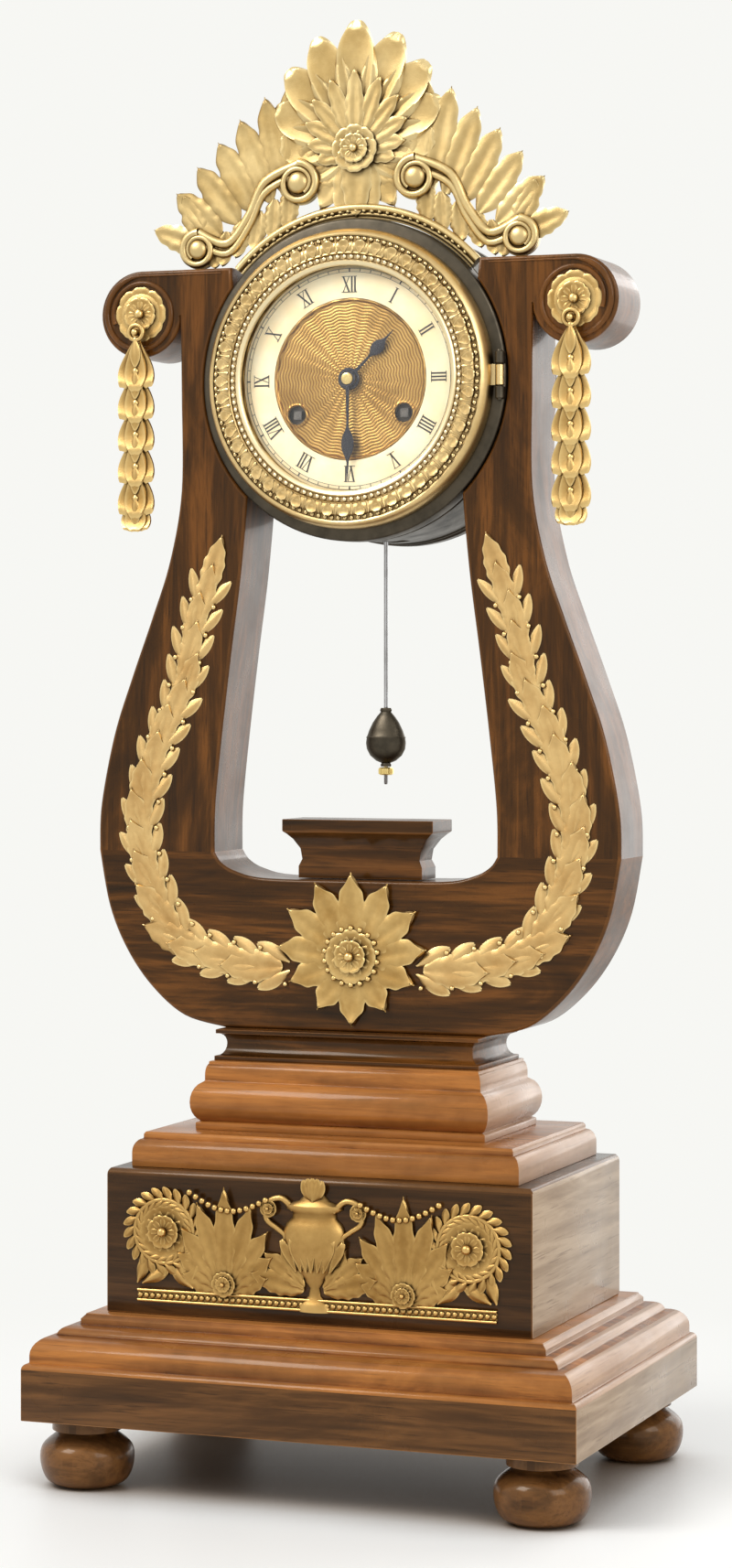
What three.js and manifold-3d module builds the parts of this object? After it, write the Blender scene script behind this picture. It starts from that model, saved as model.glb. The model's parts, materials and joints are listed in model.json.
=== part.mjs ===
// A lyre mantel clock. Millimetres, X to the right, Y to the back, Z up; the clock faces -Y and stands on Z = 0.
import * as THREE from "three";
import { mergeVertices } from "three/addons/utils/BufferGeometryUtils.js";
import Module from "manifold-3d";

const wasm = await Module();
wasm.setup();

// Clearances shared by all pieces
const seatGap = 0.3; // between pieces that rest on each other along a curve or across a cut
const runGap = 0.25; // round a shaft that turns in its hole
const overrun = 1; // how far a cutting shape runs past what it cuts

// Base
const footHeight = 26;
const footRadius = 18;
const footInset = 19; // feet centres, from the base's sides
const baseHalfWidth = 110;
const baseHalfDepth = 79;
const baseHeight = 39;
const baseInset = 18.5;
const plinthHalfWidth = 85.5;
const plinthHalfDepth = 54.5;
const plinthHeight = 55;
const stepHalfWidth = 78;
const stepHalfDepth = 48;
const stepHeight = 13;
const torusHalfWidth = 61;
const torusHalfDepth = 33;
const torusHeight = 26;
const neckHalfWidth = 54;
const neckHalfDepth = 24;
const neckHeight = 12;

// Lyre
const lyreHalfDepth = 15;
const bowHeight = 68; // from the neck to the joints with the arms
const bowThickness = 58; // at the middle
const waistHalfWidth = 44; // inside the arms, below the drum
const topHalfWidth = 51; // inside the arms' tops, over the drum
const bellyInnerHalf = 58;
const bellyOuterHalf = 107;
const shoulderHalf = 72; // outside the arms, beside the drum
const armHeight = 227; // from the joint to the top
const voluteRadius = 17;
const voluteOut = 89; // volute centres, from the middle plane
const capHeight = 20;
const capHalfTop = 31;
const capHalfFoot = 23;
const capHalfDepth = 11;
const capRise = 3; // the cap's foot over the bow's inner floor

// Head: everything round the dial is placed from the dial's centre
const dialBelowTop = 45; // the dial's centre, below the top of the arms
const drumRadius = 62;
const drumWall = 2.2;
const drumFront = -16;
const drumBack = 48;
const drumMouth = 50; // radius of the opening behind the bezel
const flangeThick = 2;
const bezelRadius = 57.5;
const bezelAperture = 43;
const bezelDepth = 9.7;
const glassThick = 1.2;
const glassRise = 3.4;
const chapterInner = 31;
const chapterOuter = 43.5;
const enamelThick = 1;
const dialThick = 1.2;
const windingAcross = 21.8; // winding arbors, from the dial's centre
const windingDrop = 13.3;

// Movement
const plateRadius = 46;
const plateThick = 2;
const frontPlateFace = -13; // front face of the front plate
const plateSpan = 24; // between the plates
const pillarOut = 41.5;
const pillarRadius = 2.4;
const suspensionRise = 35; // hinge of the pendulum over the dial's centre
const pendulumDeep = 21; // plane of the pendulum rod
const pendulumLength = 172.6; // hinge to the bob's centre: 8640 beats an hour
const bellRadius = 33;
const bellFront = 26.5;
const bellDepth = 16.5;
const bellWall = 1.8;

// Gilt mounts
const mountThick = 2.6;
const crestBack = -8;
const crestThick = 5;
const dropLength = 78;
const dropWidth = 15;
const rosetteRadius = 10;

// Worked-out levels
const baseTop = footHeight + baseHeight;
const plinthTop = baseTop + plinthHeight;
const pedestalTop = plinthTop + stepHeight + torusHeight;
const neckTop = pedestalTop + neckHeight;
const bowTop = neckTop + bowHeight;
const bowFloor = neckTop + bowThickness;
const armTop = bowTop + armHeight;
const voluteHeight = armTop - voluteRadius;
const dialHeight = armTop - dialBelowTop;
const backPlateFace = frontPlateFace + plateThick + plateSpan; // inner face of the back plate
const frontInner = frontPlateFace + plateThick;
const plateBack = backPlateFace + plateThick;

const finishes = {
  wood: { color: 0x5a2c17, roughness: 0.3, metalness: 0 },
  gilt: { color: 0xc9a25c, roughness: 0.35, metalness: 1 },
  bronze: { color: 0x3b2c20, roughness: 0.5, metalness: 1 },
  brass: { color: 0xb9933f, roughness: 0.35, metalness: 1 },
  steel: { color: 0x8d8f93, roughness: 0.35, metalness: 1 },
  blued: { color: 0x20242e, roughness: 0.35, metalness: 1 },
  enamel: { color: 0xf2ead2, roughness: 0.25, metalness: 0 },
  glass: { color: 0xffffff, roughness: 0.05, metalness: 0 },
};

// A geometry as a solid for joining and cutting, with its faces turned outwards
function solidOf(geometry) {
  const bare = geometry.index ? geometry.toNonIndexed() : geometry.clone();
  bare.deleteAttribute("normal");
  bare.deleteAttribute("uv");
  const merged = mergeVertices(bare);
  const triVerts = new Uint32Array(merged.index.array);
  const make = () =>
    new wasm.Manifold(
      new wasm.Mesh({ numProp: 3, vertProperties: merged.attributes.position.array, triVerts }),
    );
  const made = make();
  if (made.volume() > 0) return made;
  for (let i = 0; i < triVerts.length; i += 3) {
    [triVerts[i + 1], triVerts[i + 2]] = [triVerts[i + 2], triVerts[i + 1]];
  }
  return make();
}

function geometryOf(solid) {
  const mesh = solid.getMesh();
  const geometry = new THREE.BufferGeometry();
  geometry.setAttribute("position", new THREE.BufferAttribute(new Float32Array(mesh.vertProperties), 3));
  geometry.setIndex(new THREE.BufferAttribute(new Uint32Array(mesh.triVerts), 1));
  geometry.computeVertexNormals();
  return geometry;
}

const join = (...parts) => geometryOf(parts.map(solidOf).reduce((sum, part) => sum.add(part)));
const cut = (body, ...tools) =>
  geometryOf(tools.map(solidOf).reduce((rest, tool) => rest.subtract(tool), solidOf(body)));
const common = (a, b) => geometryOf(solidOf(a).intersect(solidOf(b)));

// A closed outline from a list of [across, up] points
function outlineOf(points) {
  return new THREE.Shape(points.map(([x, y]) => new THREE.Vector2(x, y)));
}

// An outline in the front view, made solid from the Y level front to the Y level back
function slab(shape, front, back, curveSegments = 6) {
  const options = { depth: back - front, bevelEnabled: false, curveSegments };
  return new THREE.ExtrudeGeometry(shape, options).rotateX(Math.PI / 2).translate(0, back, 0);
}

// An outline in the side view, made solid to halfWidth on both sides
function sideSlab(shape, halfWidth) {
  const options = { depth: 2 * halfWidth, bevelEnabled: false };
  const lying = new THREE.ExtrudeGeometry(shape, options).rotateX(Math.PI / 2).rotateZ(Math.PI / 2);
  return lying.translate(-halfWidth, 0, 0);
}

function block(x0, x1, y0, y1, z0, z1) {
  const box = new THREE.BoxGeometry(x1 - x0, y1 - y0, z1 - z0);
  return box.translate((x0 + x1) / 2, (y0 + y1) / 2, (z0 + z1) / 2);
}

// A piece turned about the Y axis, from [radius, level] points that close on themselves or lie on the axis
function turned(points, steps) {
  const closed = points[0][0] === 0 ? points : [...points, points[0]];
  const profile = closed.map(([r, y]) => new THREE.Vector2(r, y));
  return new THREE.LatheGeometry(profile, steps);
}

const rod = (radius, front, back, steps = 8) =>
  turned([[0, front], [radius, front], [radius, back], [0, back]], steps);
const tube = (inner, outer, front, back, steps = 12) =>
  turned([[inner, front], [outer, front], [outer, back], [inner, back]], steps);

const at = (geometry, x, z) => geometry.clone().translate(x, 0, z);
const swung = (geometry, angle) => geometry.clone().rotateY(-angle);
const mirrored = (geometry) => geometryOf(solidOf(geometry.clone().scale(-1, 1, 1)));
const polar = (radius, degrees) => [
  radius * Math.cos(THREE.MathUtils.degToRad(degrees)),
  radius * Math.sin(THREE.MathUtils.degToRad(degrees)),
];

// A rectangular block whose edge follows a list of [inset, height] points, mitred at its corners
function moulded(halfWidth, halfDepth, bottom, profile) {
  const ring = (half) => {
    const right = profile.map(([inset, up]) => [half - inset, bottom + up]);
    const left = profile.map(([inset, up]) => [inset - half, bottom + up]).reverse();
    return outlineOf([...right, ...left]);
  };
  const frontView = slab(ring(halfWidth), -halfDepth, halfDepth);
  return common(frontView, sideSlab(ring(halfDepth), halfWidth));
}

function piece(group, name, geometry, finish, x = 0, z = 0) {
  const mesh = new THREE.Mesh(geometry, new THREE.MeshStandardMaterial(finishes[finish]));
  mesh.name = name;
  mesh.position.set(x, 0, z);
  group.add(mesh);
}

const clock = new THREE.Group();

// Feet, base, plinth and pedestal
const footShares = [[0, 0], [0.6, 0], [0.9, 0.2], [1, 0.42], [0.9, 0.64], [0.6, 0.8], [0.76, 0.88], [0.76, 1],
  [0, 1]];
const footProfile = footShares.map(([r, up]) => [r * footRadius, up * footHeight]);
const foot = turned(footProfile, 12).rotateX(Math.PI / 2);
const footAcross = baseHalfWidth - footInset;
const footDeep = baseHalfDepth - footInset;
const corners = { front_left: [-1, -1], front_right: [1, -1], back_left: [-1, 1], back_right: [1, 1] };
for (const [name, [across, deep]] of Object.entries(corners)) {
  const placed = foot.clone().translate(across * footAcross, deep * footDeep, 0);
  piece(clock, "foot_" + name, placed, "wood");
}

// Shares of the inset and of the height of each moulding
const baseShares = [[0, 0], [0, 0.53], [0.12, 0.58], [0.12, 0.64], [0.3, 0.76], [0.6, 0.85], [0.85, 0.89],
  [0.95, 0.94], [1, 1]];
const stepShares = [[0, 0], [0, 0.45], [0.35, 0.72], [1, 1]];
const torusShares = [[0.2, 0], [0.2, 0.14], [0, 0.24], [-0.1, 0.4], [0, 0.58], [0.45, 0.74], [0.5, 0.84],
  [1, 0.92], [1, 1]];
const stepInset = 4;
const torusInset = 6;
const plinthEdge = 2;
const scaled = (shares, inset, height) => shares.map(([i, up]) => [i * inset, up * height]);

piece(
  clock,
  "base_tier",
  moulded(baseHalfWidth, baseHalfDepth, footHeight, scaled(baseShares, baseInset, baseHeight)),
  "wood",
);
const plinthProfile = [[0, 0], [0, plinthHeight - plinthEdge], [plinthEdge, plinthHeight]];
piece(clock, "plinth_block", moulded(plinthHalfWidth, plinthHalfDepth, baseTop, plinthProfile), "wood");
piece(
  clock,
  "pedestal",
  join(
    moulded(stepHalfWidth, stepHalfDepth, plinthTop, scaled(stepShares, stepInset, stepHeight)),
    moulded(torusHalfWidth, torusHalfDepth, plinthTop + stepHeight, scaled(torusShares, torusInset, torusHeight)),
  ),
  "wood",
);
const neckShares = [[0, 0], [0.3, 0.2], [1, 0.55], [0.8, 0.8], [0.2, 1]];
const neckInset = 4;
piece(
  clock,
  "pedestal_neck",
  moulded(neckHalfWidth, neckHalfDepth, pedestalTop, scaled(neckShares, neckInset, neckHeight)),
  "wood",
);

// Lyre bow: half outlines as shares of the half width and of the height over the neck
const bowOuterShares = [[0.5, 0], [0.66, 0.06], [0.79, 0.22], [0.89, 0.43], [0.96, 0.68], [1, 1]];
const bowInnerShares = [[0, 0], [0.62, 0.02], [0.84, 0.26], [0.95, 0.6], [1, 1]];
const splineThrough = (points) =>
  new THREE.SplineCurve(points.map(([x, y]) => new THREE.Vector2(x, y)))
    .getPoints(2 * (points.length - 1))
    .map((p) => [p.x, p.y]);
const bowRise = bowTop - bowFloor;
const bowOuter = splineThrough(bowOuterShares.map(([s, up]) => [s * bellyOuterHalf, neckTop + up * bowHeight]));
const bowInner = splineThrough(bowInnerShares.map(([s, up]) => [s * bellyInnerHalf, bowFloor + up * bowRise]));
const bowRight = [...bowOuter, ...bowInner.reverse()];
const bowLeft = bowRight.slice(0, -1).reverse().map(([x, z]) => [-x, z]);
piece(clock, "lyre_bow", slab(outlineOf([...bowRight, ...bowLeft]), -lyreHalfDepth, lyreHalfDepth), "wood");

// Lyre arms: shares of the way from the shoulder to the belly, and of the arm's height
const armOuterShares = [[1, 0], [0.98, 0.08], [0.82, 0.2], [0.6, 0.3], [0.36, 0.4], [0.14, 0.5], [0, 0.62],
  [0, 0.78]];
const armInnerShares = [[1, 0], [0.98, 0.08], [0.78, 0.2], [0.5, 0.34], [0.2, 0.48], [0, 0.62], [0, 0.7]];
const armOuter = splineThrough(
  armOuterShares.map(([s, up]) => [shoulderHalf + s * (bellyOuterHalf - shoulderHalf), bowTop + up * armHeight]),
);
const armInner = splineThrough(
  armInnerShares.map(([s, up]) => [waistHalfWidth + s * (bellyInnerHalf - waistHalfWidth), bowTop + up * armHeight]),
);
const voluteArc = [];
const voluteSteps = 14;
for (let i = 0; i <= voluteSteps; i += 1) {
  const [x, z] = polar(voluteRadius, 90 - (i * 300) / voluteSteps);
  voluteArc.push([voluteOut + x, voluteHeight + z]);
}
const armPoints = [...armOuter, ...voluteArc.reverse().slice(1), [topHalfWidth, armTop], ...armInner.reverse()];
const armSlab = slab(outlineOf(armPoints), -lyreHalfDepth, lyreHalfDepth);
const drumSteps = 28;
const drumSeat = at(rod(drumRadius + seatGap, drumFront - overrun, drumBack, drumSteps), 0, dialHeight);
const eyeSink = 2; // the volute's eye is sunk into its front
const eyeRadius = rosetteRadius + 2 * seatGap;
const eyeCut = at(
  rod(eyeRadius, -lyreHalfDepth - overrun, eyeSink - lyreHalfDepth, 14),
  voluteOut,
  voluteHeight,
);
const armRight = cut(armSlab, drumSeat, eyeCut);
piece(clock, "lyre_arm_right", armRight, "wood");
piece(clock, "lyre_arm_left", mirrored(armRight), "wood");

// Flared cap in the bottom of the opening, with a tenon into the bow
const capBottom = bowFloor + capRise;
const capOutlineShares = [[0.82, 0], [0.76, 0.16], [0.8, 0.4], [0.94, 0.72], [1, 0.76], [1, 1]];
const capRight = capOutlineShares.map(([s, up]) => [s * capHalfTop, capBottom + up * capHeight]);
const capLeft = capRight.map(([x, z]) => [-x, z]).reverse();
const capFoot = block(-capHalfFoot, capHalfFoot, -capHalfDepth, capHalfDepth, bowFloor + seatGap, capBottom);
piece(
  clock,
  "opening_cap",
  join(slab(outlineOf([...capRight, ...capLeft]), -capHalfDepth, capHalfDepth), capFoot),
  "wood",
);

// Gilt mounts are made of leaves: each leaf is a pointed oval that grows from its own foot
const leafBulgeShare = 0.78;
const leafLowShare = 0.2;
const leafHighShare = 0.72;
const leafSteps = 3;
function leaf(length, width, angle, x, z, front, back) {
  const bulge = width * leafBulgeShare;
  const shape = new THREE.Shape();
  shape.moveTo(0, 0);
  shape.bezierCurveTo(bulge, length * leafLowShare, bulge, length * leafHighShare, 0, length);
  shape.bezierCurveTo(-bulge, length * leafHighShare, -bulge, length * leafLowShare, 0, 0);
  const standingLeaf = slab(shape, front, back, leafSteps);
  return at(swung(standingLeaf, THREE.MathUtils.degToRad(angle)), x, z);
}
const rosette = (radius, x, z, front, back) => {
  const edge = front + (back - front) / 2;
  const profile = [[0, front], [radius / 3, front], [radius / 2, edge], [radius * 0.8, front], [radius, edge],
    [radius, back], [0, back]];
  return at(turned(profile, 12), x, z);
};

// Crest, in the head's frame: a band round the drum, scrolls at its ends, a stem and a palmette
const crestFront = crestBack - crestThick;
const crestInner = drumRadius + seatGap * 2;
const bandWidth = 5;
const bandFrom = 44; // degrees above the horizontal where the band starts
const bandShape = new THREE.Shape();
bandShape.absarc(0, 0, crestInner + bandWidth, THREE.MathUtils.degToRad(bandFrom),
  THREE.MathUtils.degToRad(180 - bandFrom), false);
bandShape.absarc(0, 0, crestInner, THREE.MathUtils.degToRad(180 - bandFrom),
  THREE.MathUtils.degToRad(bandFrom), true);
const crestLeaf = (length, width, angle, x, z) => leaf(length, width, angle, x, z, crestFront, crestBack);
const palmetteFoot = 90; // heights over the dial's centre
const palmetteReach = 49;
const palmetteLeafWidth = 12;
const palmetteLeaves = 9;
const palmetteSpread = 100;
const crestParts = [slab(bandShape, crestFront, crestBack, 14)];
for (let i = 0; i < palmetteLeaves; i += 1) {
  const angle = palmetteSpread * (i / (palmetteLeaves - 1) - 0.5) * 2;
  const lengthShare = 1 - 0.4 * (Math.abs(angle) / palmetteSpread) ** 1.5;
  crestParts.push(crestLeaf(palmetteReach * lengthShare, palmetteLeafWidth, -angle, 0, palmetteFoot));
}
const stemHalf = 6;
crestParts.push(
  block(-stemHalf, stemHalf, crestFront, crestBack, crestInner + bandWidth / 2, palmetteFoot + stemHalf),
);
const scrollEye = 7;
const scrollOut = 24;
const scrollUp = 77;
const endEye = 7.5;
const endOut = 66;
const endUp = armTop - dialHeight + endEye + seatGap;
// Each side's leaves: shares of the way from the inner scroll to the end scroll, of the length and width, and the lean
const sideLeafLength = 33;
const sideLeafWidth = 14;
const sideLeaves = [
  { wayShare: 0.08, reachShare: 1, widthShare: 1, lean: 10 },
  { wayShare: 0.3, reachShare: 0.94, widthShare: 1, lean: 24 },
  { wayShare: 0.54, reachShare: 0.88, widthShare: 1, lean: 34 },
  { wayShare: 0.78, reachShare: 0.79, widthShare: 1, lean: 46 },
  { wayShare: 0.96, reachShare: 0.64, widthShare: 0.86, lean: 66 },
  { wayShare: 0.96, reachShare: 0.58, widthShare: 0.71, lean: 16 },
  { wayShare: 0.08, reachShare: 0.82, widthShare: 1, lean: -48 },
];
const branchHalf = 4.5;
for (const side of [-1, 1]) {
  crestParts.push(rosette(scrollEye, side * scrollOut, scrollUp, crestFront - mountThick, crestBack));
  crestParts.push(rosette(endEye, side * endOut, endUp, crestFront - mountThick, crestBack));
  const branch = outlineOf([
    [side * scrollOut, scrollUp - branchHalf],
    [side * endOut, endUp - branchHalf],
    [side * endOut, endUp + branchHalf],
    [side * scrollOut, scrollUp + branchHalf],
  ]);
  crestParts.push(slab(branch, crestFront, crestBack));
  for (const { wayShare, reachShare, widthShare, lean } of sideLeaves) {
    const x = side * (scrollOut + wayShare * (endOut - scrollOut));
    const z = scrollUp + wayShare * (endUp - scrollUp);
    crestParts.push(crestLeaf(reachShare * sideLeafLength, widthShare * sideLeafWidth, -side * lean, x, z));
  }
}
const crest = cut(join(...crestParts), rod(crestInner - seatGap, crestFront - 2 * crestThick, 0, drumSteps));

// Arm mounts: leaves laid one over the next down the middle of each arm
const armMountLeaves = 10;
const armLeafLength = 31;
const armLeafWidth = 14;
const armMountShares = [[0.27, 0.455], [0.37, 0.36], [0.455, 0.265], [0.62, 0.156], [0.7, 0.03],
  [0.58, -0.085], [0.36, -0.16], [-0.05, -0.19]];
const armMountWay = new THREE.SplineCurve(
  armMountShares.map(
    ([s, up]) =>
      new THREE.Vector2(waistHalfWidth + s * (bellyOuterHalf - waistHalfWidth), bowTop + up * armHeight),
  ),
);
const armMountParts = [];
for (let i = 0; i < armMountLeaves; i += 1) {
  const along = i / armMountLeaves;
  const foot = armMountWay.getPointAt(1 - along);
  const way = armMountWay.getTangentAt(1 - along);
  const angle = THREE.MathUtils.radToDeg(Math.atan2(-way.y, -way.x)) - 90;
  const proud = (i % 2) * (mountThick / 4);
  armMountParts.push(
    leaf(armLeafLength, armLeafWidth, angle, foot.x, foot.y, -lyreHalfDepth - mountThick + proud, -lyreHalfDepth),
  );
}
const armMount = join(...armMountParts);
piece(clock, "arm_mount_right", armMount, "gilt");
piece(clock, "arm_mount_left", mirrored(armMount), "gilt");

// Palmette on the bow: a fan of leaves over a boss, with short leaves below
const bowMountUp = neckTop + bowThickness / 2;
const bowMountFront = -lyreHalfDepth - mountThick;
const bowMountParts = [rosette(rosetteRadius, 0, bowMountUp, bowMountFront - mountThick, -lyreHalfDepth)];
const bowLeafLength = 29;
const bowFan = [
  { reachShare: 1, lean: 0 }, { reachShare: 0.97, lean: 28 }, { reachShare: 0.97, lean: 56 },
  { reachShare: 0.93, lean: 84 }, { reachShare: 0.83, lean: 112 }, { reachShare: 0.76, lean: 146 },
  { reachShare: 0.83, lean: 180 },
];
for (const { reachShare, lean } of bowFan) {
  const length = reachShare * bowLeafLength;
  const sides = lean % 180 === 0 ? [1] : [-1, 1];
  for (const side of sides) {
    bowMountParts.push(leaf(length, armLeafWidth, side * lean, 0, bowMountUp, bowMountFront, -lyreHalfDepth));
  }
}
piece(clock, "bow_mount", join(...bowMountParts), "gilt");

// Frieze on the plinth: an urn between scrolling leaves, with rosettes at the ends
const friezeRise = 5;
const friezeFloor = baseTop + friezeRise;
const friezeFront = -plinthHalfDepth - mountThick;
const friezeBack = -plinthHalfDepth;
const friezeHalf = 64;
const friezeRosette = 9;
const friezeMiddle = baseTop + plinthHeight * 0.5;
const railHigh = 5;
const lyingLeaf = 30;
const lyingOut = 38;
const endLeaf = 28;
const urnShares = [[0.5, 0], [0.5, 0.06], [0.2, 0.14], [0.3, 0.26], [0.85, 0.45], [1, 0.62], [0.8, 0.72],
  [0.95, 0.78], [0.3, 0.86], [0.22, 0.94], [0, 1]];
const urnHalf = 13;
const urnHigh = 50;
const urnRight = urnShares.map(([s, up]) => [s * urnHalf, friezeFloor + up * urnHigh]);
const urnLeft = urnRight.slice(0, -1).map(([x, z]) => [-x, z]).reverse();
const friezeParts = [
  slab(outlineOf([...urnRight, ...urnLeft]), friezeFront - mountThick, friezeBack),
  block(-friezeHalf, friezeHalf, friezeFront + mountThick / 3, friezeBack, friezeFloor, friezeFloor + railHigh),
];
// Shares of the half length where a leaf stands and of its length, and its lean
const friezeLeafLength = 36;
const friezeLeaves = [
  { wayShare: 0.3, reachShare: 0.72, lean: 30 }, { wayShare: 0.34, reachShare: 0.61, lean: -30 },
  { wayShare: 0.6, reachShare: 1, lean: -8 }, { wayShare: 0.64, reachShare: 0.92, lean: 14 },
  { wayShare: 0.5, reachShare: 0.67, lean: -42 }, { wayShare: 0.78, reachShare: 0.67, lean: 36 },
];
for (const side of [-1, 1]) {
  friezeParts.push(rosette(friezeRosette, side * friezeHalf, friezeMiddle, friezeFront - mountThick, friezeBack));
  friezeParts.push(
    leaf(lyingLeaf, armLeafWidth, side * 90, side * lyingOut, friezeFloor + railHigh, friezeFront, friezeBack),
    leaf(endLeaf, armLeafWidth, side * 18, side * friezeHalf, friezeFloor, friezeFront, friezeBack),
  );
  for (const { wayShare, reachShare, lean } of friezeLeaves) {
    const x = side * wayShare * friezeHalf;
    const length = reachShare * friezeLeafLength;
    friezeParts.push(leaf(length, armLeafWidth, -side * lean, x, friezeFloor, friezeFront, friezeBack));
  }
}
piece(clock, "plinth_frieze", join(...friezeParts), "gilt");

// Rosettes in the volute eyes; each carries a pin for its hanging drop
const rosetteFront = -lyreHalfDepth - mountThick;
const pinLength = 5;
const pinRadius = 1.3;
const pinBelow = rosetteRadius - 2 * pinRadius;
const eyeRosette = join(
  rosette(rosetteRadius, 0, 0, rosetteFront, eyeSink - lyreHalfDepth - seatGap),
  at(rod(pinRadius, rosetteFront - pinLength, rosetteFront + mountThick), 0, -pinBelow),
);
// A husk drop: three husks, one below the other, under a ring that hangs on the rosette's pin
const dropThick = 4;
const dropFront = rosetteFront - seatGap - dropThick;
const dropBack = rosetteFront - seatGap;
const ringRadius = 4.2;
const husks = 3;
const huskLength = (dropLength - ringRadius) / husks;
const huskShares = [[0.3, 0], [0.42, -0.2], [0.4, -0.5], [0.5, -0.96], [0.24, -0.9], [0, -1.06]];
const dropParts = [tube(pinRadius + runGap, ringRadius, dropFront, dropBack, 10)];
for (let i = 0; i < husks; i += 1) {
  const top = -ringRadius * 0.6 - i * huskLength;
  const husk = huskShares.map(([s, up]) => [s * dropWidth, top + up * huskLength]);
  const left = husk.slice(0, -1).map(([x, z]) => [-x, z]).reverse();
  dropParts.push(slab(outlineOf([...husk, ...left]), dropFront, dropBack));
}
const drop = cut(join(...dropParts), rod(pinRadius + runGap, dropFront - overrun, dropBack + overrun, 8));
for (const [name, side] of [["left", -1], ["right", 1]]) {
  piece(clock, "volute_rosette_" + name, eyeRosette, "gilt", side * voluteOut, voluteHeight);
  piece(clock, "husk_drop_" + name, drop, "gilt", side * voluteOut, voluteHeight - pinBelow);
}

// The head's own frame has its origin at the dial's centre
const head = new THREE.Group();
head.position.set(0, 0, dialHeight);
clock.add(head);
piece(head, "crest", crest, "gilt");

// Hinges with a vertical pin: knuckles on the drum, one knuckle on the door
const knuckleRadius = 1.7;
const hingePin = 0.75;
const knuckleHalf = 4;
const knuckleOuter = 9;
const upright = (geometry, x, y, z) => geometry.clone().rotateX(Math.PI / 2).translate(x, y, z);
const bezelHingeOut = 3; // hinge axes, out from the rim and away from the drum's edge
const bezelHingeLift = 2.6;
const coverHingeOut = 2.6;
const coverHingeLift = 2.4;
const bezelHinge = { x: bezelRadius + bezelHingeOut, y: drumFront - bezelHingeLift };
const coverHinge = { x: -drumRadius - coverHingeOut, y: drumBack + coverHingeLift };
function hingeFrame({ x, y }, x0, x1, y0, y1) {
  const parts = [upright(rod(hingePin, -knuckleOuter, knuckleOuter, 8), x, y, 0)];
  for (const side of [-1, 1]) {
    const [from, to] = [side * (knuckleHalf + seatGap), side * knuckleOuter].sort((a, b) => a - b);
    parts.push(upright(rod(knuckleRadius, -to, -from, 10), x, y, 0));
    parts.push(block(x0, x1, y0, y1, from, to));
  }
  return parts;
}
const drumInner = drumRadius - drumWall;
const drumShell = turned(
  [[drumMouth, drumFront], [drumRadius, drumFront], [drumRadius, drumBack], [drumInner, drumBack],
    [drumInner, drumFront + flangeThick], [drumMouth, drumFront + flangeThick]],
  drumSteps,
);
const slotHalf = 9;
const slotHalfDeep = 4.5;
const drumSlot = block(
  -slotHalf, slotHalf, pendulumDeep - slotHalfDeep, pendulumDeep + slotHalfDeep, -drumRadius - overrun, -plateRadius,
);
const lugHalf = 1.2;
const bezelHingeArm = hingeFrame(
  bezelHinge, bezelHinge.x - lugHalf, bezelHinge.x + lugHalf, bezelHinge.y, drumFront + flangeThick / 2,
);
const coverHingeArm = hingeFrame(
  coverHinge, coverHinge.x, drumWall / 2 - drumRadius, drumBack - knuckleRadius, coverHinge.y,
);
piece(head, "drum", cut(join(drumShell, ...bezelHingeArm, ...coverHingeArm), drumSlot), "bronze");

// Bezel with its glass
const bezelBack = drumFront - seatGap;
const bezelFront = bezelBack - bezelDepth;
const lipDepth = 2;
const glassRadius = bezelAperture + 2;
const glassEdge = bezelFront + lipDepth * 2;
const bezelWall = 4.5;
const bezelHollow = 3;
const bezelProfile = [
  [bezelAperture, bezelFront + lipDepth], [bezelAperture + 2 * lipDepth, bezelFront + lipDepth / 2],
  [bezelRadius - 2 * bezelWall, bezelFront], [bezelRadius - bezelWall, bezelFront + lipDepth / 2],
  [bezelRadius, bezelFront + 2 * lipDepth], [bezelRadius, bezelBack],
  [bezelRadius - bezelWall, bezelBack], [bezelRadius - bezelWall, bezelBack - bezelHollow],
  [glassRadius + seatGap, bezelBack - bezelHollow], [glassRadius + seatGap, glassEdge - 2 * seatGap],
  [bezelAperture, glassEdge - 2 * seatGap],
];
const bezelKnuckle = tube(hingePin + runGap, knuckleRadius, -knuckleHalf, knuckleHalf, 10);
const bezelTab = block(
  bezelRadius - bezelWall, bezelHinge.x - hingePin - 2 * runGap,
  bezelHinge.y - knuckleRadius * 0.8, bezelHinge.y + knuckleRadius * 0.8,
  -knuckleHalf, knuckleHalf,
);
const bezel = join(
  cut(join(turned(bezelProfile, drumSteps), bezelTab), block(0, drumRadius, bezelBack, 0, -drumRadius, drumRadius)),
  upright(bezelKnuckle, bezelHinge.x, bezelHinge.y, 0),
);
piece(head, "bezel", bezel, "gilt");
const glassSteps = 3;
const glassCurve = [];
for (let i = 0; i <= glassSteps; i += 1) {
  const share = i / glassSteps;
  glassCurve.push([share * glassRadius, glassEdge - glassRise * (1 - share * share)]);
}
const glassBack = glassCurve.map(([r, y]) => [r, y + glassThick]).reverse();
piece(head, "bezel_glass", turned([...glassCurve, ...glassBack], 16), "glass");

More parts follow.
